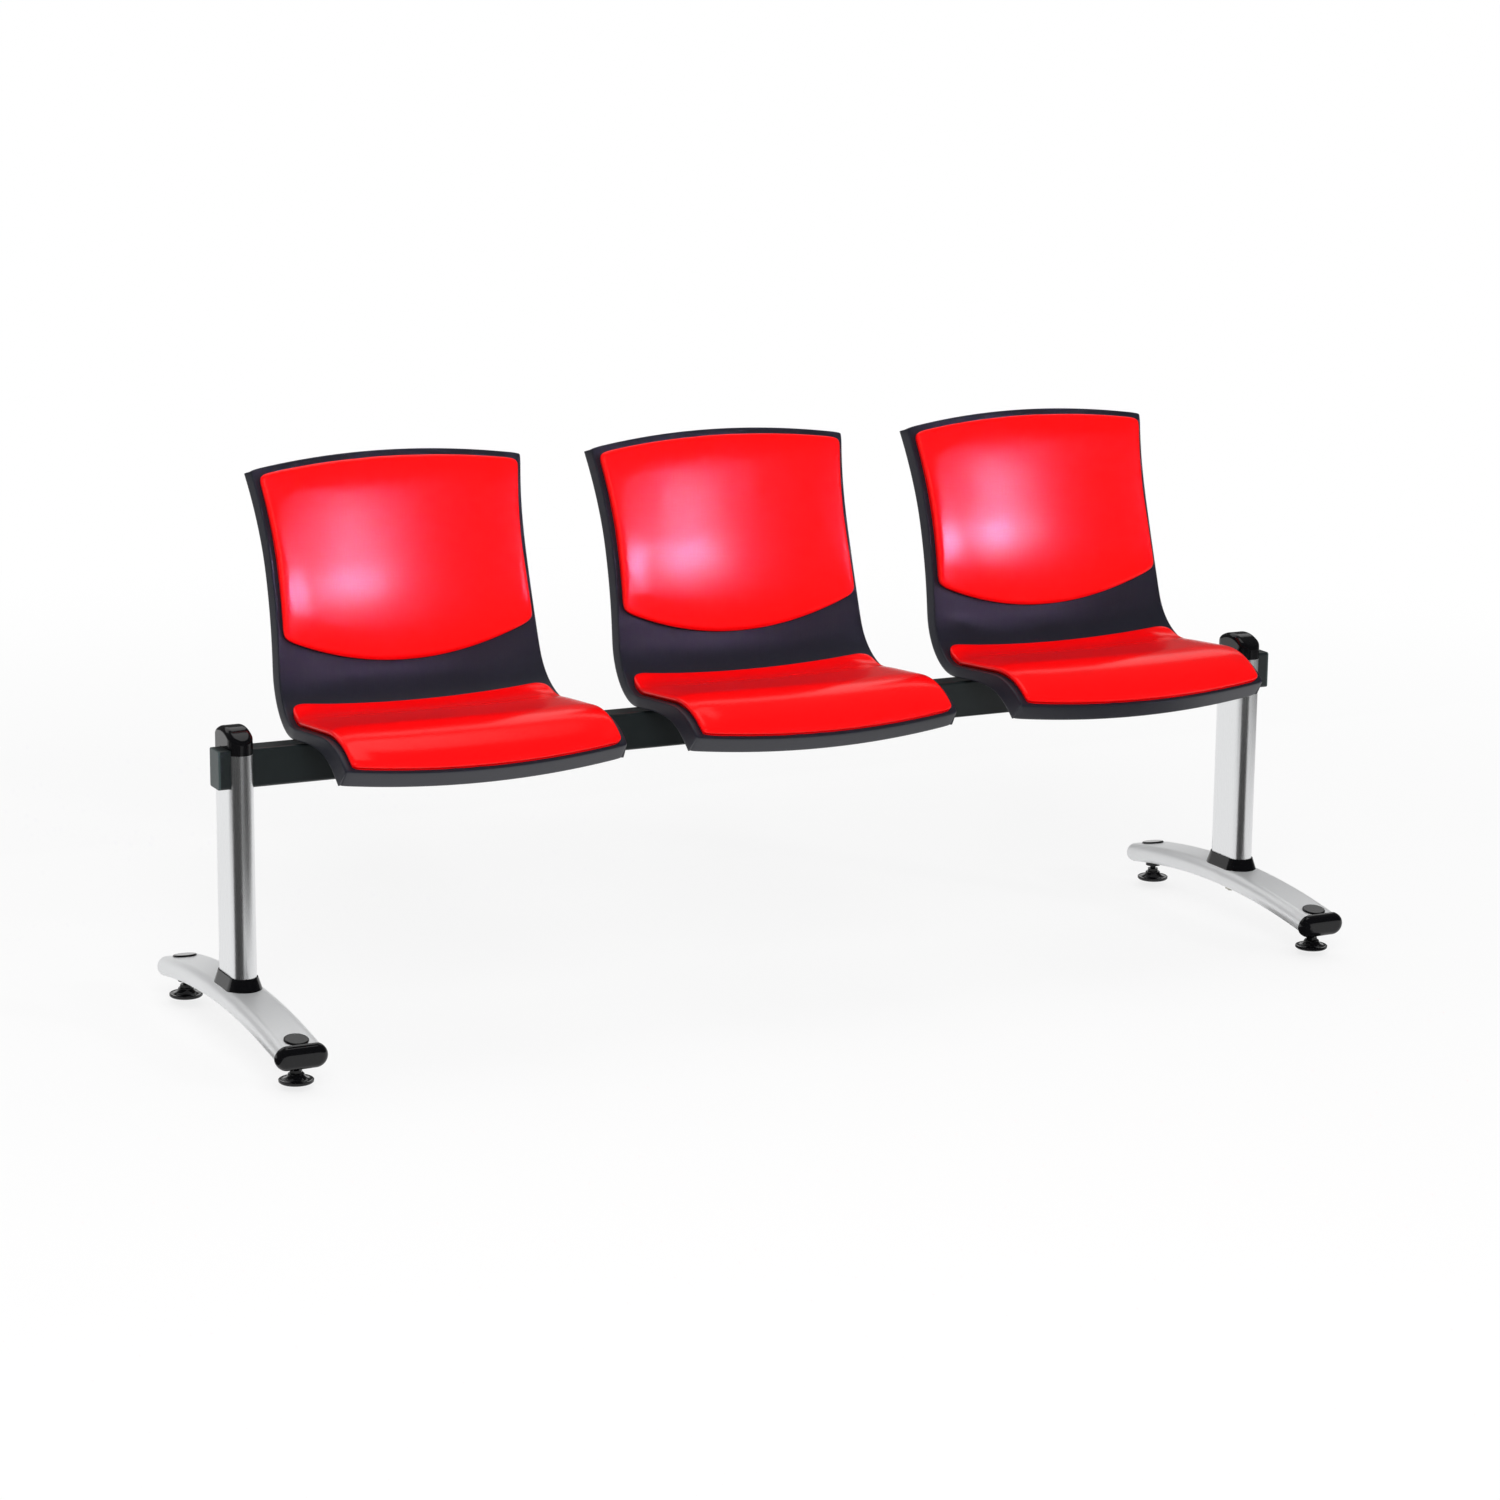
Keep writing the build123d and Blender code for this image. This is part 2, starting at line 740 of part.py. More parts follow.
# Seat shell: a waisted, dished slab, its ends trimmed to an arch and a bow, hollowed from behind
run = spread(-trim_reach, shell_length + trim_reach)
with BuildPart() as shell_form:
    loft([band(s, half_width(s), half_width(s) + rim_flare, -rim_depth(s), 0, 0) for s in run])
    add(end_trim(0, half_width(0), top_arch, 1, 0), mode=Mode.SUBTRACT)
    add(end_trim(shell_length, half_width(shell_length), front_bow, -1, 0), mode=Mode.SUBTRACT)
with BuildPart() as shell_hollow:
    loft(
        [
            band(
                s,
                half_width(s) - shell_wall,
                half_width(s) + rim_flare - shell_wall,
                -rim_depth(s) - shell_wall,
                -shell_wall,
                -shell_wall,
            )
            for s in run
        ]
    )
    add(end_trim(0, half_width(0), top_arch, 1, shell_wall), mode=Mode.SUBTRACT)
    add(end_trim(shell_length, half_width(shell_length), front_bow, -1, shell_wall), mode=Mode.SUBTRACT)

# Where the shell is screwed to its bracket and the pads are screwed to the shell
boss_spots = GridLocations(boss_pitch_x, boss_pitch_y, 2, 2).locations
pad_screw_stations = [back_screw_high, back_screw_low, seat_screw_rear, seat_screw_front]
pad_screw_spots = []
for s in pad_screw_stations:
    for x in (-pad_screw_pitch / 2, pad_screw_pitch / 2):
        level = face_height(s, x) - shell_wall - pad_boss
        spot = station(s).from_local_coords((x, level, 0))
        pad_screw_spots.append(Plane(spot, x_dir=(1, 0, 0), z_dir=station(s).y_dir).location)

with BuildPart() as shell_bosses:
    with Locations((0, 0, bracket_plate)):
        with Locations(*boss_spots):
            Cylinder(boss_d / 2, 2 * trim_reach, align=(Align.CENTER, Align.CENTER, Align.MIN))
    with Locations(*pad_screw_spots):
        Cylinder(
            pad_boss_d / 2,
            pad_boss + 2 * shell_wall,
            align=(Align.CENTER, Align.CENTER, Align.MIN),
        )
    add(shell_form.part, mode=Mode.INTERSECT)
with BuildPart() as shell:
    add(shell_form.part)
    add(shell_hollow.part, mode=Mode.SUBTRACT)
    add(shell_bosses.part)
    with Locations((0, 0, bracket_plate)):
        with Locations(*boss_spots):
            Cylinder(shell_screw_d / 2, 2 * shell_screw_bite, mode=Mode.SUBTRACT)
    with Locations(*pad_screw_spots):
        Cylinder(pad_screw_d / 2 + hole_slack / 2, 4 * (pad_boss + shell_wall), mode=Mode.SUBTRACT)


def pad_board_form(start, end, margin):
    """Stiff panel on the shell's face between two stations."""
    with BuildPart() as board:
        halves = [half_width(s) - margin - pad_board_inset for s in spread(start, end)]
        loft(
            [
                band(s, half, half, pad_gap, pad_gap + pad_board, pad_gap + pad_board)
                for s, half in zip(spread(start, end), halves)
            ]
        )
        add(shell_form.part, mode=Mode.SUBTRACT)
        with Locations(*pad_screw_spots):
            Cylinder(
                pad_screw_d / 2,
                pad_boss + shell_wall + pad_gap + pad_board,
                align=(Align.CENTER, Align.CENTER, Align.MIN),
                mode=Mode.SUBTRACT,
            )
    return board.part


def fit_pad_round(board):
    """Cut the pad being built to the shell's face, round its board and round the screw tips."""
    add(shell_form.part, mode=Mode.SUBTRACT)
    add(board, mode=Mode.SUBTRACT)
    with Locations(*pad_screw_spots):
        Cylinder(
            pad_screw_d / 2,
            pad_boss + shell_wall + pad_gap + pad_board,
            align=(Align.CENTER, Align.CENTER, Align.MIN),
            mode=Mode.SUBTRACT,
        )


# Back pad: crowned cushion with an arched top and a smiling lower edge
back_top = back_pad_top_margin
back_mid = (back_top + back_pad_low) / 2
back_board = pad_board_form(back_top + pad_board_end, back_pad_low - pad_board_end, back_pad_margin)
with BuildPart() as back_pad:
    sections = []
    for s in spread(back_top - top_arch - pad_overrun, back_pad_low + back_pad_smile + pad_overrun):
        half = half_width(s) - back_pad_margin
        fullness = max(0.0, 1 - ((s - back_mid) / (back_pad_low - back_mid + back_pad_smile)) ** 2)
        crown = back_pad_edge + (back_pad_crown - back_pad_edge) * fullness
        sections.append(cushion(s, half, back_pad_edge, crown))
    loft(sections)
    add(end_trim(back_top, half_width(back_top), top_arch, 1, 0), mode=Mode.SUBTRACT)
    add(end_trim(back_pad_low, half_width(back_pad_low), back_pad_smile, -1, 0), mode=Mode.SUBTRACT)
    fit_pad_round(back_board)

# Seat pad: crowned cushion from the junction over the front edge's hump
seat_front = shell_length - seat_pad_front_margin
seat_mid = (seat_pad_rear + seat_front) / 2
seat_board = pad_board_form(seat_pad_rear + pad_board_end, seat_front - pad_board_end, seat_pad_margin)
with BuildPart() as seat_pad:
    sections = []
    for s in spread(seat_pad_rear, seat_front + front_bow + pad_overrun):
        half = half_width(s) - seat_pad_margin
        fullness = max(0.0, 1 - ((s - seat_mid) / (seat_front - seat_mid + front_bow)) ** 2)
        crown = seat_pad_edge + (seat_pad_crown - seat_pad_edge) * fullness
        sections.append(cushion(s, half, seat_pad_edge, crown))
    loft(sections)
    add(end_trim(seat_front, half_width(seat_front), front_bow, -1, 0), mode=Mode.SUBTRACT)
    fit_pad_round(seat_board)

# Seat bracket: plate on the beam, drilled for the shell screws and the clamp bolts
clamp_bolt_y = beam_depth / 2 + clamp_bolt_side
clamp_spots = GridLocations(clamp_spacing, 2 * clamp_bolt_y, 2, 2).locations
with BuildPart() as bracket:
    with BuildSketch():
        RectangleRounded(bracket_width, bracket_depth, bracket_corner)
        with Locations(*boss_spots):
            Circle(shell_screw_d / 2 + hole_slack, mode=Mode.SUBTRACT)
        with Locations(*clamp_spots):
            Circle(clamp_bolt_d / 2 + hole_slack, mode=Mode.SUBTRACT)
    extrude(amount=bracket_plate)

# Beam clamp: bar under the beam
with BuildPart() as clamp:
    with BuildSketch(Plane.XY.offset(-beam_height)):
        RectangleRounded(clamp_width, 2 * clamp_bolt_y + clamp_width, clamp_width / 4)
        with Locations((0, clamp_bolt_y), (0, -clamp_bolt_y)):
            Circle(clamp_bolt_d / 2 + hole_slack, mode=Mode.SUBTRACT)
    extrude(amount=-clamp_thickness)

# Clamp bolt with its head under the clamp, and the weld nut under the bracket that it screws into
clamp_bottom = -beam_height - clamp_thickness
with BuildPart() as clamp_bolt:
    with Locations((0, 0, clamp_bottom)):
        Cylinder(
            clamp_bolt_d / 2,
            bracket_plate - clamp_bottom,
            align=(Align.CENTER, Align.CENTER, Align.MIN),
        )
    chamfer(clamp_bolt.edges().filter_by(GeomType.CIRCLE).sort_by(Axis.Z)[-1], thread_chamfer)
    with BuildSketch(Plane.XY.offset(clamp_bottom)):
        RegularPolygon(clamp_head_af / 2, 6, major_radius=False)
    extrude(amount=-clamp_head)
with BuildPart() as clamp_nut_form:
    with BuildSketch():
        RegularPolygon(clamp_head_af / 2, 6, major_radius=False)
        Circle(clamp_bolt_d / 2, mode=Mode.SUBTRACT)
    extrude(amount=-clamp_nut)

# Shell screw: from under the bracket up into the shell's boss
with BuildPart() as shell_screw:
    Cylinder(
        shell_screw_d / 2,
        bracket_plate + shell_screw_bite - screw_tip_gap,
        align=(Align.CENTER, Align.CENTER, Align.MIN),
    )
    Cylinder(
        shell_screw_head_d / 2,
        shell_screw_head,
        align=(Align.CENTER, Align.CENTER, Align.MAX),
    )
    fillet(shell_screw.edges().filter_by(GeomType.CIRCLE).sort_by(Axis.Z)[0], shell_screw_head / 2)

# Pad screw: from behind the shell's boss into the pad's board
with BuildPart() as pad_screw:
    Cylinder(
        pad_screw_d / 2,
        pad_boss + shell_wall + pad_gap + pad_board - screw_tip_gap,
        align=(Align.CENTER, Align.CENTER, Align.MIN),
    )
    Cylinder(
        pad_screw_head_d / 2,
        pad_screw_head,
        align=(Align.CENTER, Align.CENTER, Align.MAX),
    )
    fillet(pad_screw.edges().filter_by(GeomType.CIRCLE).sort_by(Axis.Z)[0], pad_screw_head / 2)

seat_places = [Location((x, beam_y, beam_top)) for x in seat_xs]
for number, place in enumerate(seat_places, start=1):
    write(shell.part, f"seat_shell_{number}", place)
    write(back_pad.part, f"back_pad_{number}", place)
    write(seat_pad.part, f"seat_pad_{number}", place)
    write(back_board, f"back_pad_board_{number}", place)
    write(seat_board, f"seat_pad_board_{number}", place)
    write(bracket.part, f"seat_bracket_{number}", place)
clamp_middles = [Location((x, 0, 0)) for x in (-clamp_spacing / 2, clamp_spacing / 2)]
write(clamp.part, "beam_clamps", *[seat * spot for seat in seat_places for spot in clamp_middles])
write(clamp_bolt.part, "clamp_bolts", *[seat * spot for seat in seat_places for spot in clamp_spots])
write(clamp_nut_form.part, "clamp_nuts", *[seat * spot for seat in seat_places for spot in clamp_spots])
write(shell_screw.part, "shell_screws", *[seat * spot for seat in seat_places for spot in boss_spots])
write(pad_screw.part, "pad_screws", *[seat * spot for seat in seat_places for spot in pad_screw_spots])
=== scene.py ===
"""Waiting-room beam bench: finishes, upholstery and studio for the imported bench.

Everything is in metres in the bench's own frame: +Z up, +X along the beam, -Y towards the sitter's knees.
"""

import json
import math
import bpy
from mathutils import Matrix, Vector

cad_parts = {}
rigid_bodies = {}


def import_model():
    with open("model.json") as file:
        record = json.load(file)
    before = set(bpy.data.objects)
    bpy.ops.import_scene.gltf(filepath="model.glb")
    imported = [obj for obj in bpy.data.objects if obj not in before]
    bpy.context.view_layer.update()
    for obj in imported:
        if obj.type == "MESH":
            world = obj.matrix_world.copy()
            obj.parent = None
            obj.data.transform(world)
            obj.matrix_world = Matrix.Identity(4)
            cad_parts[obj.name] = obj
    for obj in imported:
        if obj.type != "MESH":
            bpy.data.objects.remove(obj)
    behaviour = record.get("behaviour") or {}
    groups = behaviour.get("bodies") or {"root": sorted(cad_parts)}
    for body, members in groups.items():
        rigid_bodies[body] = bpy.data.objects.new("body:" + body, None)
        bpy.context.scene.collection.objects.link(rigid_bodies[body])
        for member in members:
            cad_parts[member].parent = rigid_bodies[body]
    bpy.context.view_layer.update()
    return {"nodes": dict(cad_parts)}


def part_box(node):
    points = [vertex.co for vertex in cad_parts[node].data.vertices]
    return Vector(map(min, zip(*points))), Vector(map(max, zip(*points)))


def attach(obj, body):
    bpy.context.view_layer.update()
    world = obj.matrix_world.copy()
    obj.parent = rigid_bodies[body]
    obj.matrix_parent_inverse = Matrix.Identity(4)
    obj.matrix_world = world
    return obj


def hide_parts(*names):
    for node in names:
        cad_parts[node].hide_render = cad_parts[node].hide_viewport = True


bl_info = {
    "name": "Waiting Bench",
    "version": (1, 0, 0),
    "blender": (4, 5, 0),
    "location": "View3D > Sidebar > Bench",
    "description": "Dresses a three-seat beam bench with padded moulded seats",
    "category": "Object",
}

from collections import namedtuple

import bmesh
import bpy
from bpy.props import FloatProperty, FloatVectorProperty, IntProperty, PointerProperty
from mathutils import Matrix, Vector

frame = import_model()
MM = 0.001
SEATS = (1, 2, 3)
SIDES = ("left", "right")
ENDS = ("front", "rear")
ROOT = "bench"


def linear(code):
    """sRGB hex colour as linear red, green, blue and alpha."""
    channels = [int(code[i : i + 2], 16) / 255 for i in (1, 3, 5)]
    return tuple(c / 12.92 if c <= 0.04045 else ((c + 0.055) / 1.055) ** 2.4 for c in channels) + (1.0,)


def length(name, description, default):
    """Size property in metres."""
    return FloatProperty(
        name=name, description=description, default=default, min=0, unit="LENGTH", precision=5
    )


def colour(name, description, code):
    """Colour property whose default is an sRGB hex value."""
    return FloatVectorProperty(
        name=name, description=description, default=linear(code), size=4, min=0, max=1, subtype="COLOR"
    )


class BenchSizes(bpy.types.PropertyGroup):
    """Sizes of the dressed bench."""

    back_roll: length("Back roll", "Width of the rolled edge of a back pad", 10 * MM)
    seat_roll: length("Seat roll", "Width of the rolled edge of a seat pad", 9 * MM)
    pad_dip: length("Edge dip", "Depth of the valley inside a back pad's rolled edge", 0.5 * MM)
    swell: length("Swell", "How far the simulated filling may push a pad's cover", 2.5 * MM)
    shell_edge: length("Shell edge", "Radius of the moulded shell's front edge", 2.6 * MM)
    shell_wall: length("Shell wall", "Wall of the moulded shell", 4 * MM)
    grain: length("Vinyl grain", "Spacing of the embossed pebbles as drawn", 2.4 * MM)
    thread_pitch: length("Thread pitch", "Pitch of the leveller threads", 1.5 * MM)
    thread_crest: length("Thread crest", "Outer diameter of the leveller threads", 9.9 * MM)
    thread_core: length("Thread core", "Core diameter of the leveller threads", 8.6 * MM)
    hexagon: length("Hexagon", "Spanner size of a leveller stem", 17 * MM)
    hexagon_height: length("Hexagon height", "Height of a leveller stem's hexagon", 5 * MM)
    hexagon_start: length("Hexagon start", "Hexagon's height over the foot of its stem", 10 * MM)
    columns: IntProperty(name="Columns", description="Cells across a pad", default=44, min=8)
    rows: IntProperty(name="Rows", description="Cells along a pad", default=32, min=8)


class BenchColours(bpy.types.PropertyGroup):
    """Colours of the bench's finishes."""

    vinyl: colour("Vinyl", "Cover of the pads", "#F2070B")
    shell: colour("Shell", "Moulded seat shells", "#1D1E29")
    beam: colour("Beam", "Powder coat of the beam", "#1B2122")
    # Painted light: the end plugs' grey-teal is the beam's colour painted lighter, for light falling from
    # the left on the end faces.
    plug_with_painted_light: colour("Plug", "Beam end plugs", "#3B4747")
    chrome: colour("Chrome", "Uprights and feet", "#E6E7E8")
    black: colour("Black", "Caps, collars, glides and brackets", "#0B0B0D")
    zinc: colour("Zinc", "Bolts, screws and saddles", "#B7B4AA")
    board: colour("Board", "Hardboard inside the pads", "#7A5638")
    floor: colour("Floor", "Studio floor", "#F6F6F6")


def sizes():
    """The bench's size settings."""
    return bpy.context.scene.bench_sizes


def colours():
    """The bench's colour settings."""
    return bpy.context.scene.bench_colours


# Side line of a seat from the middle of the beam's top, with the solids' corners in mm and bends in m
beam_low, beam_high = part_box("beam")
BEAM_Y = (beam_low[1] + beam_high[1]) / 2
BEAM_TOP = beam_high[2]
SEAT_LIFT = 18.7 * MM
CORNERS = [(196.0, 367.3), (129.5, 182.0), (84.0, -5.3), (-164.0, 15.3), (-206.0, -22.2)]
BENDS = [1.7, 0.09, 0.13]
SEAT_PITCH = 0.572

# Half widths of a shell, and how far down its back the waist lies
TOP_HALF = 0.226
WAIST_HALF = 0.2125
SEAT_HALF = 0.231
FRONT_HALF = 0.2285
WAIST_DOWN = 0.155

# How far the top edge and the front edge of a seat bow over their middles
TOP_BOW = -21 * MM
FRONT_BOW = 18 * MM

# Height of a back pad over its middle
BACK_CROWN = 13 * MM

# Where the photograph was taken from, for the camera and the lamps that mirror off the backs
CAMERA_PLACE = (-2.9219, -5.8170, 1.8505)


def side_line():
    """Runs of the side line as (start s, start point, heading, curvature), and the whole length."""
    points = [Vector((y * MM, z * MM + SEAT_LIFT)) for y, z in CORNERS]
    runs = []
    s = 0.0
    place = points[0]
    for i, bend in enumerate(BENDS, start=1):
        before = (points[i] - points[i - 1]).normalized()
        after = (points[i + 1] - points[i]).normalized()
        turn = before.angle_signed(after) * -1
        reach = bend * math.tan(abs(turn) / 2)
        straight = (points[i] - before * reach - place).length
        heading = math.atan2(before.y, before.x)
        runs.append((s, place, heading, 0.0))
        s += straight
        place = points[i] - before * reach
        runs.append((s, place, heading, math.copysign(1 / bend, turn)))
        s += bend * abs(turn)
        place = points[i] + after * reach
    runs.append((s, place, math.atan2(after.y, after.x), 0.0))
    return runs, s + (points[-1] - place).length


RUNS, SHELL_LENGTH = side_line()
JUNCTION_START = RUNS[3][0]
JUNCTION_END = RUNS[4][0]


def along(s, knots):
    """Smoothly eased value at s between (position, value) knots."""
    if s <= knots[0][0]:
        return knots[0][1]
    for (s0, v0), (s1, v1) in zip(knots, knots[1:]):
        if s <= s1:
            t = (s - s0) / (s1 - s0)
            return v0 + (v1 - v0) * t * t * (3 - 2 * t)
    return knots[-1][1]


def line_at(s):
    """Point and heading of the side line at s from its top."""
    start, place, heading, curve = next(run for run in reversed(RUNS) if s >= run[0] or run is RUNS[0])
    run = s - start
    if curve == 0:
        return place + run * Vector((math.cos(heading), math.sin(heading))), heading
    end = heading + curve * run
    offset = Vector((math.sin(end) - math.sin(heading), math.cos(heading) - math.cos(end))) / curve
    return place + offset, end


def half_width(s):
    """Half width of the shell at s: waisted back, wider seat, slightly narrower front."""
    if s < WAIST_DOWN:
        return WAIST_HALF + (TOP_HALF - WAIST_HALF) * ((WAIST_DOWN - s) / WAIST_DOWN) ** 2
    if s < JUNCTION_END:
        below = (s - WAIST_DOWN) / (JUNCTION_END - WAIST_DOWN)
        return WAIST_HALF + (SEAT_HALF - WAIST_HALF) * below**2
    return SEAT_HALF + (FRONT_HALF - SEAT_HALF) * (s - JUNCTION_END) / (SHELL_LENGTH - JUNCTION_END)


def dish(s):
    """How far the middle of the shell lies behind its sides at s, from knots in millimetres."""
    middle = (JUNCTION_START + JUNCTION_END) / 2
    knots = [(0, 9), (WAIST_DOWN, 14), (middle, 19), (JUNCTION_END + 0.02, 5), (SHELL_LENGTH, 2)]
    return along(s, knots) * MM


def rim_depth(s):
    """Depth of the shell's turned-back rim at s, from knots in millimetres."""
    knots = [(JUNCTION_START, 22), (JUNCTION_END, 17), (JUNCTION_END + 0.06, 17), (SHELL_LENGTH, 36)]
    return along(s, knots) * MM


def face_point(s, x, lift):
    """Point over the middle seat's front face, at s down the side line and x off its middle."""
    bend = (half_width(s) ** 2 + dish(s) ** 2) / (2 * dish(s))
    sag = bend - dish(s) - math.sqrt(bend**2 - x**2)
    place, heading = line_at(s)
    normal = Vector((math.sin(heading), -math.cos(heading)))
    y, z = place + (sag + lift) * normal
    return Vector((x, BEAM_Y + y, BEAM_TOP + z))


Panel = namedtuple("Panel", "half start end corners")
Ring = namedtuple("Ring", "inset lift flare", defaults=(0.0,))


def arch(base, swell, half):
    """Edge that bows by swell over its middle."""
    return lambda x: base + swell * (1 - (x / half) ** 2)


BACK = Panel(
    half=lambda s: half_width(s) - 8 * MM,
    start=arch(11 * MM, TOP_BOW, half_width(0.011)),
    end=arch(262 * MM, 50 * MM, half_width(0.262)),
    corners=(14 * MM, 14 * MM),
)
SEAT = Panel(
    half=lambda s: half_width(s) - 10 * MM,
    start=lambda x: 372 * MM,
    end=arch(SHELL_LENGTH - 3 * MM, FRONT_BOW, half_width(SHELL_LENGTH)),
    corners=(20 * MM, 9 * MM),
)
SHELL = Panel(
    half=half_width,
    start=arch(0, TOP_BOW, half_width(0)),
    end=arch(SHELL_LENGTH, FRONT_BOW, half_width(SHELL_LENGTH)),
    corners=(7 * MM, 5 * MM),
)


def rounded(u, v, wide, tall, corners):
    """Place of (u, v), each from -1 to 1, on a nest of rectangles with rounded corners."""
    ring = max(abs(u), abs(v), 1e-9)
    corner = corners[0] if v < 0 else corners[1]
    x = abs(u) / ring * wide
    y = abs(v) / ring * tall
    over_x = x - (wide - corner)
    over_y = y - (tall - corner)
    if over_x > 0 and over_y > 0:
        share = over_y / corner if over_x >= over_y else 2 - over_x / corner
        x = wide - corner + corner * math.cos(share * math.pi / 4)
        y = tall - corner + corner * math.sin(share * math.pi / 4)
    return math.copysign(x * ring, u) / wide, math.copysign(y * ring, v) / tall


def spacing(reach, insets, cells):
    """Offsets from -reach to reach: one for each rim ring at both ends and even cells between."""
    first = [-reach + inset for inset in insets]
    inner = reach - insets[-1]
    middle = [-inner + 2 * inner * i / cells for i in range(1, cells)]
    return first + middle + [-a for a in reversed(first)]


def sheet_points(panel, rings, columns, rows, crown):
    """Grid of points over a panel: its rim follows the rings, and its inside is lifted by crown(u, v)."""
    middle = (panel.start(0) + panel.end(0)) / 2
    wide = panel.half(middle)
    tall = (panel.end(0) - panel.start(0)) / 2
    across = spacing(wide, [ring.inset - ring.flare for ring in rings], columns)
    down = spacing(tall, [ring.inset for ring in rings], rows)
    grid = []
    for j, b in enumerate(down):
        row = []
        for i, a in enumerate(across):
            ring = min(i, j, len(across) - 1 - i, len(down) - 1 - j)
            u, v = rounded(a / wide, b / tall, wide, tall, panel.corners)
            x = u * wide
            for repeat in range(3):
                s = panel.start(x) + (v + 1) / 2 * (panel.end(x) - panel.start(x))
                x = u * panel.half(s)
            lift = rings[ring].lift(s) if ring < len(rings) else crown(u, v)
            row.append(face_point(s, x, lift))
        grid.append(row)
    return grid


def add_sheet(mesh, grid, flip=False):
    """Add a grid of points to a mesh as quads, and return its vertices."""
    verts = [[mesh.verts.new(point) for point in row] for row in grid]
    for j in range(len(verts) - 1):
        for i in range(len(verts[0]) - 1):
            quad = [verts[j][i], verts[j + 1][i], verts[j + 1][i + 1], verts[j][i + 1]]
            mesh.faces.new(quad[::-1] if flip else quad)
    return verts


def new_piece(name, mesh_data):
    """Object for a finished mesh, linked to the scene and smooth shaded."""
    piece = bpy.data.objects.new(name, mesh_data)
    bpy.context.scene.collection.objects.link(piece)
    mesh_data.polygons.foreach_set("use_smooth", [True] * len(mesh_data.polygons))
    return piece


def beside(mesh_data, offset, name):
    """Copy of a mesh moved along the bench."""
    copy = mesh_data.copy()
    copy.name = name
    copy.transform(Matrix.Translation((offset, 0, 0)))
    return copy


def pad_rings(roll, edge, gap):
    """Rings of a pad's rolled edge, from its drawn-in foot round to its top."""
    tuck = 2.5 * MM
    rings = []
    for degrees in (-80, -50, -20, 10, 35, 60, 80):
        turn = math.radians(degrees)
        width = roll if turn > 0 else tuck
        height = gap + edge / 2 * (1 + math.sin(turn))
        rings.append(Ring(width * (1 - math.cos(turn)), lambda s, height=height: height))
    return rings


def swell(piece, pinned, most):
    """Blow the cover up from inside by cloth simulation, with its underside held, and cap the move."""
    rest = [v.co.copy() for v in piece.data.vertices]
    held = piece.vertex_groups.new(name="held")
    held.add(pinned, 1.0, "REPLACE")
    cloth = piece.modifiers.new("Swell", "CLOTH")
    settings = cloth.settings
    settings.use_pressure = True
    settings.uniform_pressure_force = 4
    settings.tension_stiffness = 25
    settings.compression_stiffness = 25
    settings.bending_stiffness = 2
    settings.vertex_group_mass = held.name
    settings.effector_weights.gravity = 0
    cloth.point_cache.frame_start = 1
    frames = 20
    cloth.point_cache.frame_end = frames
    scene = bpy.context.scene
    for step in range(1, frames + 1):
        scene.frame_set(step)
    settled = piece.evaluated_get(bpy.context.evaluated_depsgraph_get()).data
    moves = [settled.vertices[i].co - place for i, place in enumerate(rest)]
    piece.modifiers.remove(cloth)
    piece.vertex_groups.remove(held)
    scene.frame_set(1)
    for vertex, place, move in zip(piece.data.vertices, rest, moves):
        vertex.co = place + (move if move.length <= most else move.normalized() * most)


def make_pad(name, panel, roll, edge, crown_height, shoulder, dip):
    """Pad of the middle seat: rolled edge, crowned top and a flat underside on the shell's face."""
    gap = 0.4 * MM
    border_wide = 60 * MM
    valley_in, valley_wide = 14 * MM, 9 * MM
    weld = 0.9 * MM
    rings = pad_rings(roll, edge, gap)
    middle = (panel.start(0) + panel.end(0)) / 2
    wide = panel.half(middle)
    tall = (panel.end(0) - panel.start(0)) / 2

    def crown(u, v):
        side, end = wide * (1 - abs(u)), tall * (1 - abs(v))
        outward = math.hypot(min(side, border_wide) - border_wide, min(end, border_wide) - border_wide)
        inside = max(0.0, border_wide - outward - roll)
        full = 1 - math.exp(-inside / shoulder)
        valley = math.exp(-(((inside - valley_in) / valley_wide) ** 2))
        return gap + edge + (crown_height - edge) * full - dip * valley

    columns, rows = sizes().columns, sizes().rows
    grid = sheet_points(panel, rings, columns, rows, crown)
    foot = rings[0].inset
    last = rings[-1].inset
    sole = [Ring(foot + i * (last - foot) / len(rings), lambda s: gap) for i in range(len(rings))]
    under = sheet_points(panel, sole, columns, rows, lambda u, v: gap)
    mesh = bmesh.new()
    add_sheet(mesh, grid)
    held = {v for row in add_sheet(mesh, under, flip=True) for v in row}
    mesh.verts.index_update()
    pinned = [v.index for v in held]
    data = bpy.data.meshes.new(name)
    mesh.to_mesh(data)
    mesh.free()
    piece = new_piece(name, data)
    swell(piece, pinned, sizes().swell)
    mesh = bmesh.new()
    mesh.from_mesh(data)
    bmesh.ops.remove_doubles(mesh, verts=mesh.verts, dist=weld)
    bmesh.ops.recalc_face_normals(mesh, faces=mesh.faces)
    mesh.to_mesh(data)
    mesh.free()
    return piece


def shell_rings(depth, inset):
    """Rings of the shell's rim on its outer side, or with depth and inset of a wall on its inner side."""
    bend = sizes().shell_edge
    flare = 3 * MM
    holding = 1.5 * MM
    rings = [Ring(inset, lambda s: -rim_depth(s), flare)]
    rings.append(Ring(inset, lambda s: -rim_depth(s) + holding, flare))
    rings.append(Ring(inset, lambda s: -rim_depth(s) / 2, flare / 2))
    for degrees in (0, 30, 60, 90):
        turn = math.radians(degrees)
        height = -depth - bend * (1 - math.sin(turn))
        rings.append(Ring(inset + bend * (1 - math.cos(turn)), lambda s, height=height: height))
    return rings


def border(verts):
    """Vertices round the edge of a grid, in order."""
    top = verts[0]
    right = [row[-1] for row in verts[1:]]
    bottom = verts[-1][-2::-1]
    left = [row[0] for row in verts[-2:0:-1]]
    return top + right + bottom + left


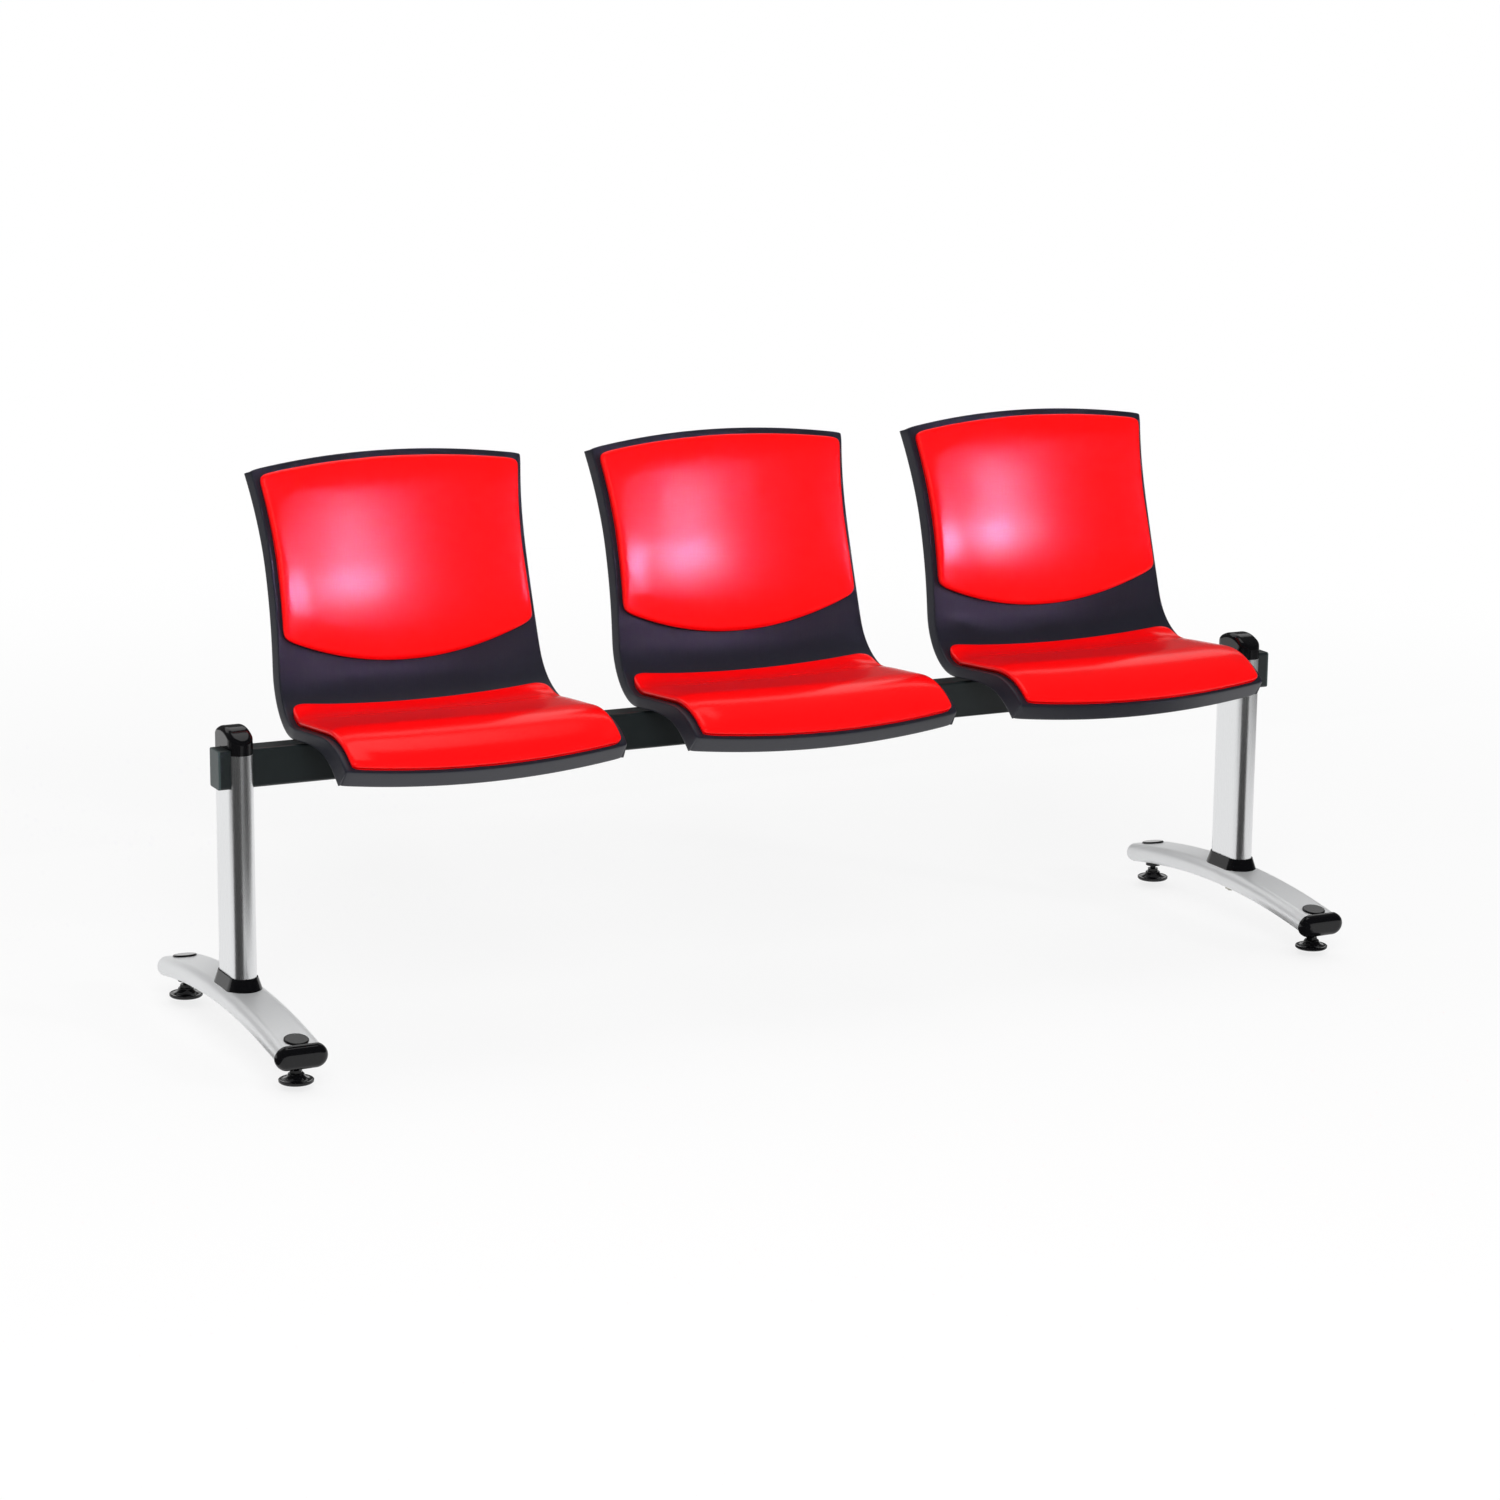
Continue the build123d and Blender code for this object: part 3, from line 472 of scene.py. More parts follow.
def make_shell(name):
    """Shell of the middle seat: one moulded wall with a rounded front edge and a turned-back rim."""
    wall = sizes().shell_wall
    columns, rows = sizes().columns, 2 * sizes().rows
    mesh = bmesh.new()
    outer = add_sheet(mesh, sheet_points(SHELL, shell_rings(0, 0), columns, rows, lambda u, v: 0))
    inner_grid = sheet_points(SHELL, shell_rings(wall, wall), columns, rows, lambda u, v: -wall)
    inner = add_sheet(mesh, inner_grid, flip=True)
    near, far = border(outer), border(inner)
    for i in range(len(near)):
        mesh.faces.new((near[i - 1], near[i], far[i], far[i - 1]))
    bmesh.ops.recalc_face_normals(mesh, faces=mesh.faces)
    data = bpy.data.meshes.new(name)
    mesh.to_mesh(data)
    mesh.free()
    return new_piece(name, data)


def face_at(y):
    """Distance down the side line at which the seat's face lies over a given y."""
    low, high = JUNCTION_END, SHELL_LENGTH
    for halving in range(40):
        middle = (low + high) / 2
        if line_at(middle)[0].x > y:
            low = middle
        else:
            high = middle
    return low


def boss_points():
    """Foot, axis with length, and diameter of each boss behind the middle seat's shell."""
    wall = sizes().shell_wall
    bracket_boss, pad_boss, pad_boss_tall = 16 * MM, 13 * MM, 3 * MM
    bracket_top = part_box("seat_bracket_2")[1][2]
    found = []
    for x in (-135 * MM, 135 * MM):
        for y in (-36 * MM, 36 * MM):
            foot = Vector((x, BEAM_Y + y, bracket_top))
            under = face_point(face_at(y), x, -wall / 2)
            found.append((foot, Vector((0, 0, under.z - foot.z)), bracket_boss))
    for s in (110 * MM, 205 * MM, 432 * MM, 540 * MM):
        for x in (-120 * MM, 120 * MM):
            foot = face_point(s, x, -wall - pad_boss_tall)
            found.append((foot, face_point(s, x, -wall / 2) - foot, pad_boss))
    return found


def subdivide(piece, levels):
    """Subdivision surface with the same levels on screen and in renders."""
    modifier = piece.modifiers.new("Smooth", "SUBSURF")
    modifier.levels = levels
    modifier.render_levels = levels


def settle(piece):
    """Replace a piece's mesh by what its modifiers make of it, and take the modifiers off."""
    shown = piece.evaluated_get(bpy.context.evaluated_depsgraph_get())
    made = bpy.data.meshes.new_from_object(shown)
    piece.modifiers.clear()
    piece.data = made
    return made


def node_tree(name, inputs):
    """New Geometry Nodes tree with a geometry in and out and named number inputs."""
    tree = bpy.data.node_groups.new(name, "GeometryNodeTree")
    tree.interface.new_socket("Geometry", in_out="INPUT", socket_type="NodeSocketGeometry")
    tree.interface.new_socket("Geometry", in_out="OUTPUT", socket_type="NodeSocketGeometry")
    for key in inputs:
        kind = "NodeSocketMaterial" if key == "Material" else "NodeSocketFloat"
        tree.interface.new_socket(key, in_out="INPUT", socket_type=kind)
    return tree, add(tree, "NodeGroupInput").outputs


def grow(piece, tree, values):
    """Run a Geometry Nodes tree on a piece with its inputs set, and keep the result as a plain mesh."""
    modifier = piece.modifiers.new(tree.name, "NODES")
    modifier.node_group = tree
    for socket in tree.interface.items_tree:
        if socket.name in values:
            modifier[socket.identifier] = values[socket.name]
    return settle(piece)


def finish_tree(tree, shape, material):
    """End a tree in plain geometry with its material."""
    solid = add(tree, "GeometryNodeRealizeInstances", {"Geometry": shape})
    dressed = add(tree, "GeometryNodeSetMaterial", {"Geometry": solid.outputs[0], "Material": material})
    add(tree, "NodeGroupOutput", {"Geometry": dressed.outputs[0]})


def boss_tree():
    """Stands a boss on each loose point: boss_axis is its axis and length, boss_size its diameter."""
    tree, given = node_tree("moulded_bosses", ["Sides", "Material"])
    axis = add(tree, "GeometryNodeInputNamedAttribute", {"Name": "boss_axis"}, data_type="FLOAT_VECTOR")
    size = add(tree, "GeometryNodeInputNamedAttribute", {"Name": "boss_size"}, data_type="FLOAT")
    reach = add(tree, "ShaderNodeVectorMath", {0: axis.outputs["Attribute"]}, operation="LENGTH")
    marked = add(
        tree, "ShaderNodeMath", {0: size.outputs["Attribute"], 1: 1 * MM}, operation="GREATER_THAN"
    )
    parts = add(
        tree,
        "GeometryNodeSeparateGeometry",
        {"Geometry": given["Geometry"], "Selection": marked.outputs[0]},
    )
    points = add(tree, "GeometryNodeMeshToPoints", {"Mesh": parts.outputs["Selection"]})
    drum = add(
        tree, "GeometryNodeMeshCylinder", {"Vertices": given["Sides"], "Radius": 0.5, "Depth": 1.0}
    )
    stood = add(
        tree, "GeometryNodeTransform", {"Geometry": drum.outputs["Mesh"], "Translation": (0, 0, 0.5)}
    )
    turn = add(tree, "FunctionNodeAlignRotationToVector", {"Vector": axis.outputs["Attribute"]}, axis="Z")
    scale = add(
        tree,
        "ShaderNodeCombineXYZ",
        {"X": size.outputs["Attribute"], "Y": size.outputs["Attribute"], "Z": reach.outputs["Value"]},
    )
    bosses = add(
        tree,
        "GeometryNodeInstanceOnPoints",
        {
            "Points": points.outputs["Points"],
            "Instance": stood.outputs["Geometry"],
            "Rotation": turn.outputs["Rotation"],
            "Scale": scale.outputs["Vector"],
        },
    )
    both = add(tree, "GeometryNodeJoinGeometry", {"Geometry": parts.outputs["Inverted"]})
    tree.links.new(bosses.outputs["Instances"], both.inputs["Geometry"])
    finish_tree(tree, both.outputs["Geometry"], given["Material"])
    return tree


def mark_bosses(data):
    """Add the boss points to a shell's mesh as loose vertices with their axis and size."""
    mesh = bmesh.new()
    mesh.from_mesh(data)
    axis = mesh.verts.layers.float_vector.new("boss_axis")
    size = mesh.verts.layers.float.new("boss_size")
    for foot, reach, across in boss_points():
        point = mesh.verts.new(foot)
        point[axis] = reach
        point[size] = across
    mesh.to_mesh(data)
    mesh.free()


def stem_tree():
    """Threaded leveller stem standing on the origin: a core, a helical ridge and a spanner hexagon."""
    thread_keys = ["Crest Diameter", "Core Diameter", "Pitch", "Length"]
    hexagon_keys = ["Hexagon", "Hexagon Height", "Hexagon Start"]
    tree, given = node_tree("leveller_stem", thread_keys + hexagon_keys + ["Material"])
    turn_steps, ridge_sides, core_sides, hexagon_sides = 18, 6, 24, 6

    def reckon(first, second, operation):
        return add(tree, "ShaderNodeMath", {0: first, 1: second}, operation=operation).outputs[0]

    core_radius = reckon(given["Core Diameter"], 2, "DIVIDE")
    ridge = reckon(reckon(given["Crest Diameter"], given["Core Diameter"], "SUBTRACT"), 2, "DIVIDE")
    rise = reckon(given["Length"], reckon(ridge, 2, "MULTIPLY"), "SUBTRACT")
    turns = reckon(rise, given["Pitch"], "DIVIDE")
    helix = add(
        tree,
        "GeometryNodeCurveSpiral",
        {
            "Resolution": turn_steps,
            "Rotations": turns,
            "Start Radius": core_radius,
            "End Radius": core_radius,
            "Height": rise,
        },
    )
    profile = add(tree, "GeometryNodeCurvePrimitiveCircle", {"Resolution": ridge_sides, "Radius": ridge})
    thread = add(
        tree,
        "GeometryNodeCurveToMesh",
        {"Curve": helix.outputs["Curve"], "Profile Curve": profile.outputs["Curve"], "Fill Caps": True},
    )
    thread_up = add(tree, "ShaderNodeCombineXYZ", {"Z": ridge})
    threaded = add(
        tree,
        "GeometryNodeTransform",
        {"Geometry": thread.outputs["Mesh"], "Translation": thread_up.outputs["Vector"]},
    )
    middle = add(tree, "ShaderNodeCombineXYZ", {"Z": reckon(given["Length"], 2, "DIVIDE")})
    core = add(
        tree,
        "GeometryNodeMeshCylinder",
        {"Vertices": core_sides, "Radius": core_radius, "Depth": given["Length"]},
    )
    core_up = add(
        tree,
        "GeometryNodeTransform",
        {"Geometry": core.outputs["Mesh"], "Translation": middle.outputs["Vector"]},
    )
    corner = reckon(given["Hexagon"], math.sqrt(3), "DIVIDE")
    nut = add(
        tree,
        "GeometryNodeMeshCylinder",
        {"Vertices": hexagon_sides, "Radius": corner, "Depth": given["Hexagon Height"]},
    )
    nut_middle = reckon(given["Hexagon Start"], reckon(given["Hexagon Height"], 2, "DIVIDE"), "ADD")
    nut_place = add(tree, "ShaderNodeCombineXYZ", {"Z": nut_middle})
    nut_up = add(
        tree,
        "GeometryNodeTransform",
        {"Geometry": nut.outputs["Mesh"], "Translation": nut_place.outputs["Vector"]},
    )
    whole = add(tree, "GeometryNodeJoinGeometry", {"Geometry": threaded.outputs["Geometry"]})
    tree.links.new(core_up.outputs["Geometry"], whole.inputs["Geometry"])
    tree.links.new(nut_up.outputs["Geometry"], whole.inputs["Geometry"])
    finish_tree(tree, whole.outputs["Geometry"], given["Material"])
    return tree


def seat_offset(number):
    """Where a seat stands along the bench."""
    return (number - 2) * SEAT_PITCH


def spread_over_seats(piece, kind, material):
    """One copy of the middle seat's piece for each seat, each standing for its solid."""
    made = piece.data
    bpy.data.objects.remove(piece)
    copies = []
    for number in SEATS:
        name = f"{kind}_{number}"
        copy = new_piece(f"dressed_{name}", beside(made, seat_offset(number), name))
        copy.data.materials.clear()
        copy.data.materials.append(material)
        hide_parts(name)
        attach(copy, ROOT)
        copies.append(copy)
    bpy.data.meshes.remove(made)
    return copies


def add(tree, kind, links=None, **settings):
    """Add a node with its settings; links gives a value or another node's output for each input."""
    node = tree.nodes.new(kind)
    for key, value in settings.items():
        setattr(node, key, value)
    for key, value in (links or {}).items():
        if isinstance(value, bpy.types.NodeSocket):
            tree.links.new(value, node.inputs[key])
        else:
            node.inputs[key].default_value = value
    return node


def surface(name, **values):
    """New material with a principled shader and object coordinates."""
    material = bpy.data.materials.new(name)
    material.use_nodes = True
    tree = material.node_tree
    shader = tree.nodes["Principled BSDF"]
    for key, value in values.items():
        shader.inputs[key.replace("_", " ").title().replace("Ior", "IOR")].default_value = value
    place = add(tree, "ShaderNodeTexCoord").outputs["Object"]
    return material, tree, shader, place


def tint(tree, shader, mask, base, change):
    """Vary a colour gently by a mask: change is how much darker and lighter it gets."""
    dark = tuple(c * (1 - change) for c in base[:3]) + (1,)
    light = tuple(min(1, c * (1 + change)) for c in base[:3]) + (1,)
    blend = add(tree, "ShaderNodeMix", {"Factor": mask, 6: dark, 7: light}, data_type="RGBA")
    tree.links.new(blend.outputs[2], shader.inputs["Base Color"])


def emboss(tree, shader, height, depth):
    """Bump of a real depth in metres."""
    bump = add(tree, "ShaderNodeBump", {"Height": height, "Distance": depth, "Strength": 1.0})
    tree.links.new(bump.outputs["Normal"], shader.inputs["Normal"])


def scatter(tree, shader, mask, low, high):
    """Roughness that runs from low to high with a mask."""
    spread = add(tree, "ShaderNodeMapRange", {"Value": mask, "To Min": low, "To Max": high})
    tree.links.new(spread.outputs["Result"], shader.inputs["Roughness"])


def pvc_vinyl():
    """PVC-coated cloth, calendered and embossed: pebbles about 1 mm wide, drawn at twice that to show."""
    material, tree, shader, place = surface("embossed_vinyl", ior=1.53, specular_ior_level=0.2)
    pebble = add(
        tree, "ShaderNodeTexVoronoi", {"Vector": place, "Scale": 1 / sizes().grain}, feature="SMOOTH_F1"
    )
    fold = add(tree, "ShaderNodeTexNoise", {"Vector": place, "Scale": 1 / (5 * MM), "Detail": 3})
    height = add(
        tree, "ShaderNodeMath", {0: pebble.outputs["Distance"], 1: fold.outputs["Fac"]}, operation="ADD"
    )
    emboss(tree, shader, height.outputs["Value"], depth=0.045 * MM)
    cloud = add(tree, "ShaderNodeTexNoise", {"Vector": place, "Scale": 1 / (70 * MM), "Detail": 2})
    tint(tree, shader, cloud.outputs["Fac"], colours().vinyl, change=0.06)
    scatter(tree, shader, pebble.outputs["Distance"], low=0.16, high=0.24)
    return material


def polypropylene():
    """Polypropylene, injection moulded in a spark-eroded tool: satin, with a fine even grit."""
    material, tree, shader, place = surface("moulded_polypropylene", ior=1.5, specular_ior_level=0.5)
    grit = add(tree, "ShaderNodeTexNoise", {"Vector": place, "Scale": 1 / (1.6 * MM), "Detail": 4})
    emboss(tree, shader, grit.outputs["Fac"], depth=0.08 * MM)
    cloud = add(tree, "ShaderNodeTexNoise", {"Vector": place, "Scale": 1 / (45 * MM), "Detail": 2})
    tint(tree, shader, cloud.outputs["Fac"], colours().shell, change=0.08)
    scatter(tree, shader, grit.outputs["Fac"], low=0.36, high=0.5)
    return material


def powder_coat(name, base):
    """Polyester powder coat baked on steel: satin, with a low orange peel about 2 mm across."""
    material, tree, shader, place = surface(name, ior=1.5)
    peel = add(tree, "ShaderNodeTexNoise", {"Vector": place, "Scale": 1 / (2 * MM), "Detail": 2})
    emboss(tree, shader, peel.outputs["Fac"], depth=0.06 * MM)
    cloud = add(tree, "ShaderNodeTexNoise", {"Vector": place, "Scale": 1 / (60 * MM), "Detail": 2})
    tint(tree, shader, cloud.outputs["Fac"], base, change=0.1)
    scatter(tree, shader, peel.outputs["Fac"], low=0.3, high=0.42)
    return material


def chromed_steel(name, stretch, metallic, low, high):
    """Satin chrome on drawn steel tube: bright, with faint polishing lines along the tube."""
    material, tree, shader, place = surface(name, metallic=metallic)
    turned = add(tree, "ShaderNodeMapping", {"Vector": place, "Scale": stretch})
    lines = add(tree, "ShaderNodeTexNoise", {"Vector": turned.outputs["Vector"], "Scale": 1, "Detail": 3})
    emboss(tree, shader, lines.outputs["Fac"], depth=0.01 * MM)
    tint(tree, shader, lines.outputs["Fac"], colours().chrome, change=0.05)
    scatter(tree, shader, lines.outputs["Fac"], low, high)
    return material


def moulded_abs(name, base, low, high):
    """ABS, injection moulded: low ripples from the tool a few millimetres across."""
    material, tree, shader, place = surface(name, ior=1.54, specular_ior_level=0.3)
    ripple = add(tree, "ShaderNodeTexNoise", {"Vector": place, "Scale": 1 / (4 * MM), "Detail": 2})
    emboss(tree, shader, ripple.outputs["Fac"], depth=0.03 * MM)
    tint(tree, shader, ripple.outputs["Fac"], base, change=0.1)
    scatter(tree, shader, ripple.outputs["Fac"], low, high)
    return material


def zinc_plate():
    """Zinc plate on steel, passivated: soft metal sheen with cloudy patches a few millimetres wide."""
    material, tree, shader, place = surface("zinc_plated_steel", metallic=1.0)
    patch = add(tree, "ShaderNodeTexNoise", {"Vector": place, "Scale": 1 / (3 * MM), "Detail": 4})
    tint(tree, shader, patch.outputs["Fac"], colours().zinc, change=0.15)
    scatter(tree, shader, patch.outputs["Fac"], low=0.28, high=0.45)
    return material


def black_oxide():
    """Steel in black oxide: dark, oily and half-bright, with patches a few millimetres wide."""
    material, tree, shader, place = surface("blackened_steel", metallic=0.3)
    patch = add(tree, "ShaderNodeTexNoise", {"Vector": place, "Scale": 1 / (3 * MM), "Detail": 4})
    tint(tree, shader, patch.outputs["Fac"], colours().black, change=0.3)
    scatter(tree, shader, patch.outputs["Fac"], low=0.25, high=0.4)
    return material


def hardboard():
    """Pressed wood fibre: matt, with fibres about 1 mm wide."""
    material, tree, shader, place = surface("hardboard", roughness=0.8)
    fibre = add(tree, "ShaderNodeTexNoise", {"Vector": place, "Scale": 1 / (1 * MM), "Detail": 5})
    tint(tree, shader, fibre.outputs["Fac"], colours().board, change=0.25)
    return material


def finish_of(name, make):
    """Material by name, made on first use."""
    return bpy.data.materials.get(name) or make()


class BENCH_OT_finishes(bpy.types.Operator):
    """Give every solid that stays in view its finish"""

    bl_idname = "bench.finishes"
    bl_label = "Finish the frame"

    def execute(self, context):
        beam = powder_coat("powder_coated_beam", colours().beam)
        bracket = powder_coat("powder_coated_bracket", colours().black)
        fine, long = 1 / (0.5 * MM), 1 / (90 * MM)
        upright = chromed_steel("chromed_upright", (fine, fine, long), metallic=1.0, low=0.22, high=0.34)
        foot = chromed_steel("chromed_foot", (fine, long, fine), metallic=0.45, low=0.3, high=0.44)
        gloss = moulded_abs("gloss_abs", colours().black, low=0.08, high=0.16)
        # The plugs' colour carries painted light: it is painted lighter, as if lit from the left.
        satin = moulded_abs("satin_abs", colours().plug_with_painted_light, low=0.35, high=0.5)
        zinc = zinc_plate()
        blackened = black_oxide()
        board = hardboard()
        shell = polypropylene()
        first_words = [
            ("beam_end_plug", satin),
            ("beam_clamps", bracket),
            ("beam_bolts", zinc),
            ("beam_saddles", zinc),
            ("beam", beam),
            ("foot_front_cap", gloss),
            ("foot_rear_cap", foot),
            ("foot", foot),
            ("upright_cap", gloss),
            ("upright", upright),
            ("collar", gloss),
            ("leveller_cover", gloss),
            ("leveller_glide", gloss),
            ("leveller_socket", blackened),
            ("leveller_stem", blackened),
            ("seat_bracket", bracket),
            ("back_pad_board", board),
            ("seat_pad_board", board),
            ("seat_shell", shell),
        ]
        for name, solid in frame["nodes"].items():
            finish = next((made for words, made in first_words if name.startswith(words)), zinc)
            for slot in solid.material_slots:
                slot.material = finish
        return {"FINISHED"}


class BENCH_OT_back_pads(bpy.types.Operator):
    """Upholster the back of each seat"""

    bl_idname = "bench.back_pads"
    bl_label = "Back pads"

    def execute(self, context):
        vinyl = finish_of("embossed_vinyl", pvc_vinyl)
        pad = make_pad(
            "back_pad",
            BACK,
            roll=sizes().back_roll,
            edge=11 * MM,
            crown_height=BACK_CROWN,
            shoulder=12 * MM,
            dip=sizes().pad_dip,
        )
        for copy in spread_over_seats(pad, "back_pad", vinyl):
            subdivide(copy, 1)
        return {"FINISHED"}


class BENCH_OT_seat_pads(bpy.types.Operator):
    """Upholster each seat"""

    bl_idname = "bench.seat_pads"
    bl_label = "Seat pads"

    def execute(self, context):
        vinyl = finish_of("embossed_vinyl", pvc_vinyl)
        pad = make_pad(
            "seat_pad",
            SEAT,
            roll=sizes().seat_roll,
            edge=9 * MM,
            crown_height=14 * MM,
            shoulder=20 * MM,
            dip=0.0,
        )
        for copy in spread_over_seats(pad, "seat_pad", vinyl):
            subdivide(copy, 1)
        return {"FINISHED"}


class BENCH_OT_shells(bpy.types.Operator):
    """Mould the shell of each seat with its rim and the bosses behind it"""

    bl_idname = "bench.shells"
    bl_label = "Seat shells"

    def execute(self, context):
        plastic = finish_of("moulded_polypropylene", polypropylene)
        shell = make_shell("seat_shell")
        subdivide(shell, 1)
        mark_bosses(settle(shell))
        grow(shell, boss_tree(), {"Sides": 24, "Material": plastic})
        spread_over_seats(shell, "seat_shell", plastic)
        return {"FINISHED"}


class BENCH_OT_stems(bpy.types.Operator):
    """Cut the thread of each leveller's stem"""

    bl_idname = "bench.stems"
    bl_label = "Leveller stems"

    def execute(self, context):
        black = bpy.data.materials["blackened_steel"]
        tree = stem_tree()
        for end in ENDS:
            for side in SIDES:
                name = f"leveller_stem_{end}_{side}"
                low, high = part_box(name)
                stem = new_piece(f"threaded_{name}", bpy.data.meshes.new(name))
                grow(
                    stem,
                    tree,
                    {
                        "Crest Diameter": sizes().thread_crest,
                        "Core Diameter": sizes().thread_core,
                        "Pitch": sizes().thread_pitch,
                        "Length": high[2] - low[2],
                        "Hexagon": sizes().hexagon,
                        "Hexagon Height": sizes().hexagon_height,
                        "Hexagon Start": sizes().hexagon_start,
                        "Material": black,
                    },
                )
                middle = ((low[0] + high[0]) / 2, (low[1] + high[1]) / 2, low[2])
                stem.data.transform(Matrix.Translation(middle))
                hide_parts(name)
                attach(stem, f"stem_{end}_{side}")
        return {"FINISHED"}


class BENCH_OT_stage(bpy.types.Operator):
    """Floor, lights and camera"""

    bl_idname = "bench.stage"
    bl_label = "Studio"

    def execute(self, context):
        scene = context.scene
        scene.view_settings.view_transform = "Standard"
        studio_floor()
        studio_cards()
        studio_world(scene)
        key = softbox("softbox_key", place=(10.8, -15.4, 7.4), aim=(0, 0.1, 0.7), wide=1.8, power=560)
        fill = softbox("softbox_fill", place=(-2.2, -5.0, 4.2), aim=(0, 0, 0.5), wide=3.0, power=210)
        softbox("softbox_top", place=(0.0, 0.6, 4.4), aim=(0, 0, 0.4), wide=2.2, power=20)
        key.visible_glossy = False
        fill.visible_glossy = False
        back_lamps()
        photo_camera(scene)
        return {"FINISHED"}


def softbox(name, place, aim, wide, power):
    """Square softbox that looks at a point."""
    lamp = bpy.data.lights.new(name, "AREA")
    lamp.shape = "SQUARE"
    lamp.size = wide
    lamp.energy = power
    holder = bpy.data.objects.new(name, lamp)
    holder.location = place
    holder.rotation_euler = (Vector(aim) - Vector(place)).to_track_quat("-Z", "Y").to_euler()
    bpy.context.scene.collection.objects.link(holder)
    return holder


def back_lamps():
    """A gridded lamp for each back, hung where the camera's view mirrors off the pad left of its middle."""
    down, across, lift, step = 0.6, -0.4, BACK_CROWN, 5 * MM
    distance = 8.0
    s = BACK.start(0) + down * (BACK.end(0) - BACK.start(0))
    x = across * BACK.half(s)
    tall = face_point(s - step, x, lift) - face_point(s + step, x, lift)
    wide = face_point(s, x + step, lift) - face_point(s, x - step, lift)
    normal = wide.cross(tall).normalized()
    for number in SEATS:
        spot = face_point(s, x, lift) + Vector((seat_offset(number), 0, 0))
        sight = (spot - Vector(CAMERA_PLACE)).normalized()
        place = spot + distance * sight.reflect(normal)
        lamp = softbox(f"back_lamp_{number}", place, aim=spot, wide=0.4, power=0.12)
        lamp.data.spread = math.radians(4)
        lamp.data.color = (0.7, 0.57, 1.0)


def flat_sheet(name, corners, material):
    """Flat stage piece through its corners."""
    mesh = bmesh.new()
    mesh.faces.new([mesh.verts.new(corner) for corner in corners])
    data = bpy.data.meshes.new(name)
    mesh.to_mesh(data)
    mesh.free()
    data.materials.append(material)
    sheet = bpy.data.objects.new(name, data)
    bpy.context.scene.collection.objects.link(sheet)
    return sheet


def studio_floor():
    """White paper floor, low enough for the levellers' travel: shaded near by, fading into white."""
    material, tree, shader, place = surface("studio_paper", roughness=0.9)
    shader.inputs["Base Color"].default_value = colours().floor
    rays = add(tree, "ShaderNodeLightPath").outputs
    mirrored = add(
        tree,
        "ShaderNodeMath",
        {0: rays["Is Glossy Ray"], 1: rays["Is Transmission Ray"]},
        operation="MAXIMUM",
    )
    far = add(tree, "ShaderNodeVectorMath", {0: place}, operation="LENGTH")
    fade = add(
        tree,
        "ShaderNodeMapRange",
        {"Value": far.outputs["Value"], "From Min": 1.2, "From Max": 4.0, "To Min": 0.78, "To Max": 1.0},
        interpolation_type="SMOOTHSTEP",
    )
    paper_end = add(
        tree,
        "ShaderNodeMapRange",
        {"Value": far.outputs["Value"], "From Min": 1.8, "From Max": 3.2, "To Min": 0.95, "To Max": 0.12},
        interpolation_type="SMOOTHSTEP",
    )
    seen = add(
        tree, "ShaderNodeMath", {0: rays["Is Camera Ray"], 1: fade.outputs["Result"]}, operation="MULTIPLY"
    )
    share = add(tree, "ShaderNodeMath", {0: seen.outputs[0], 1: mirrored.outputs[0]}, operation="MAXIMUM")
    level = add(
        tree, "ShaderNodeMix", {"Factor": mirrored.outputs[0], 2: 1.0, 3: paper_end.outputs["Result"]}
    )
    white = add(tree, "ShaderNodeEmission", {"Color": (1, 1, 1, 1), "Strength": level.outputs[0]})
    blend = add(
        tree, "ShaderNodeMixShader", {0: share.outputs[0], 1: shader.outputs[0], 2: white.outputs[0]}
    )
    tree.links.new(blend.outputs[0], tree.nodes["Material Output"].inputs["Surface"])
    reach = 40
    low = -12.5 * MM
    corners = [(-reach, -reach, low), (reach, -reach, low), (reach, reach, low), (-reach, reach, low)]
    flat_sheet("studio_floor", corners, material)


def only_mirrored(sheet):
    """Let a stage card show in reflections alone."""
    sheet.visible_camera = False
    sheet.visible_diffuse = False
    sheet.visible_shadow = False
    sheet.visible_transmission = False


def studio_cards():
    """Cards for the chrome: a black fan on the floor before each leg and white strips behind the bench."""
    black, tree, shader, place = surface("black_card", roughness=0.9)
    shader.inputs["Base Color"].default_value = linear("#3C3C3C")
    inner, outer, over_floor = 0.12, 3.0, 2 * MM
    for side, leg, middle, half in (("left", -0.9, 216, 40), ("right", 0.9, 238, 34)):
        fan = []
        for reach, turn in ((inner, -1), (inner, 1), (outer, 1), (outer, -1)):
            angle = math.radians(middle + turn * half)
            fan.append((leg + reach * math.cos(angle), reach * math.sin(angle), over_floor))
        only_mirrored(flat_sheet(f"black_card_{side}", fan, black))
    white, tree = surface("white_card", roughness=0.9)[:2]
    left, right = -4, 5
    glow = add(tree, "ShaderNodeEmission", {"Color": (1, 1, 1, 1), "Strength": 1.0})
    tree.links.new(glow.outputs[0], tree.nodes["Material Output"].inputs["Surface"])
    for name, y, low, high in (("near", 1.3, 0.0, 0.4), ("far", 4.0, 2.9, 6.0)):
        strip = [(left, y, low), (right, y, low), (right, y, high), (left, y, high)]
        only_mirrored(flat_sheet(f"white_card_{name}", strip, white))


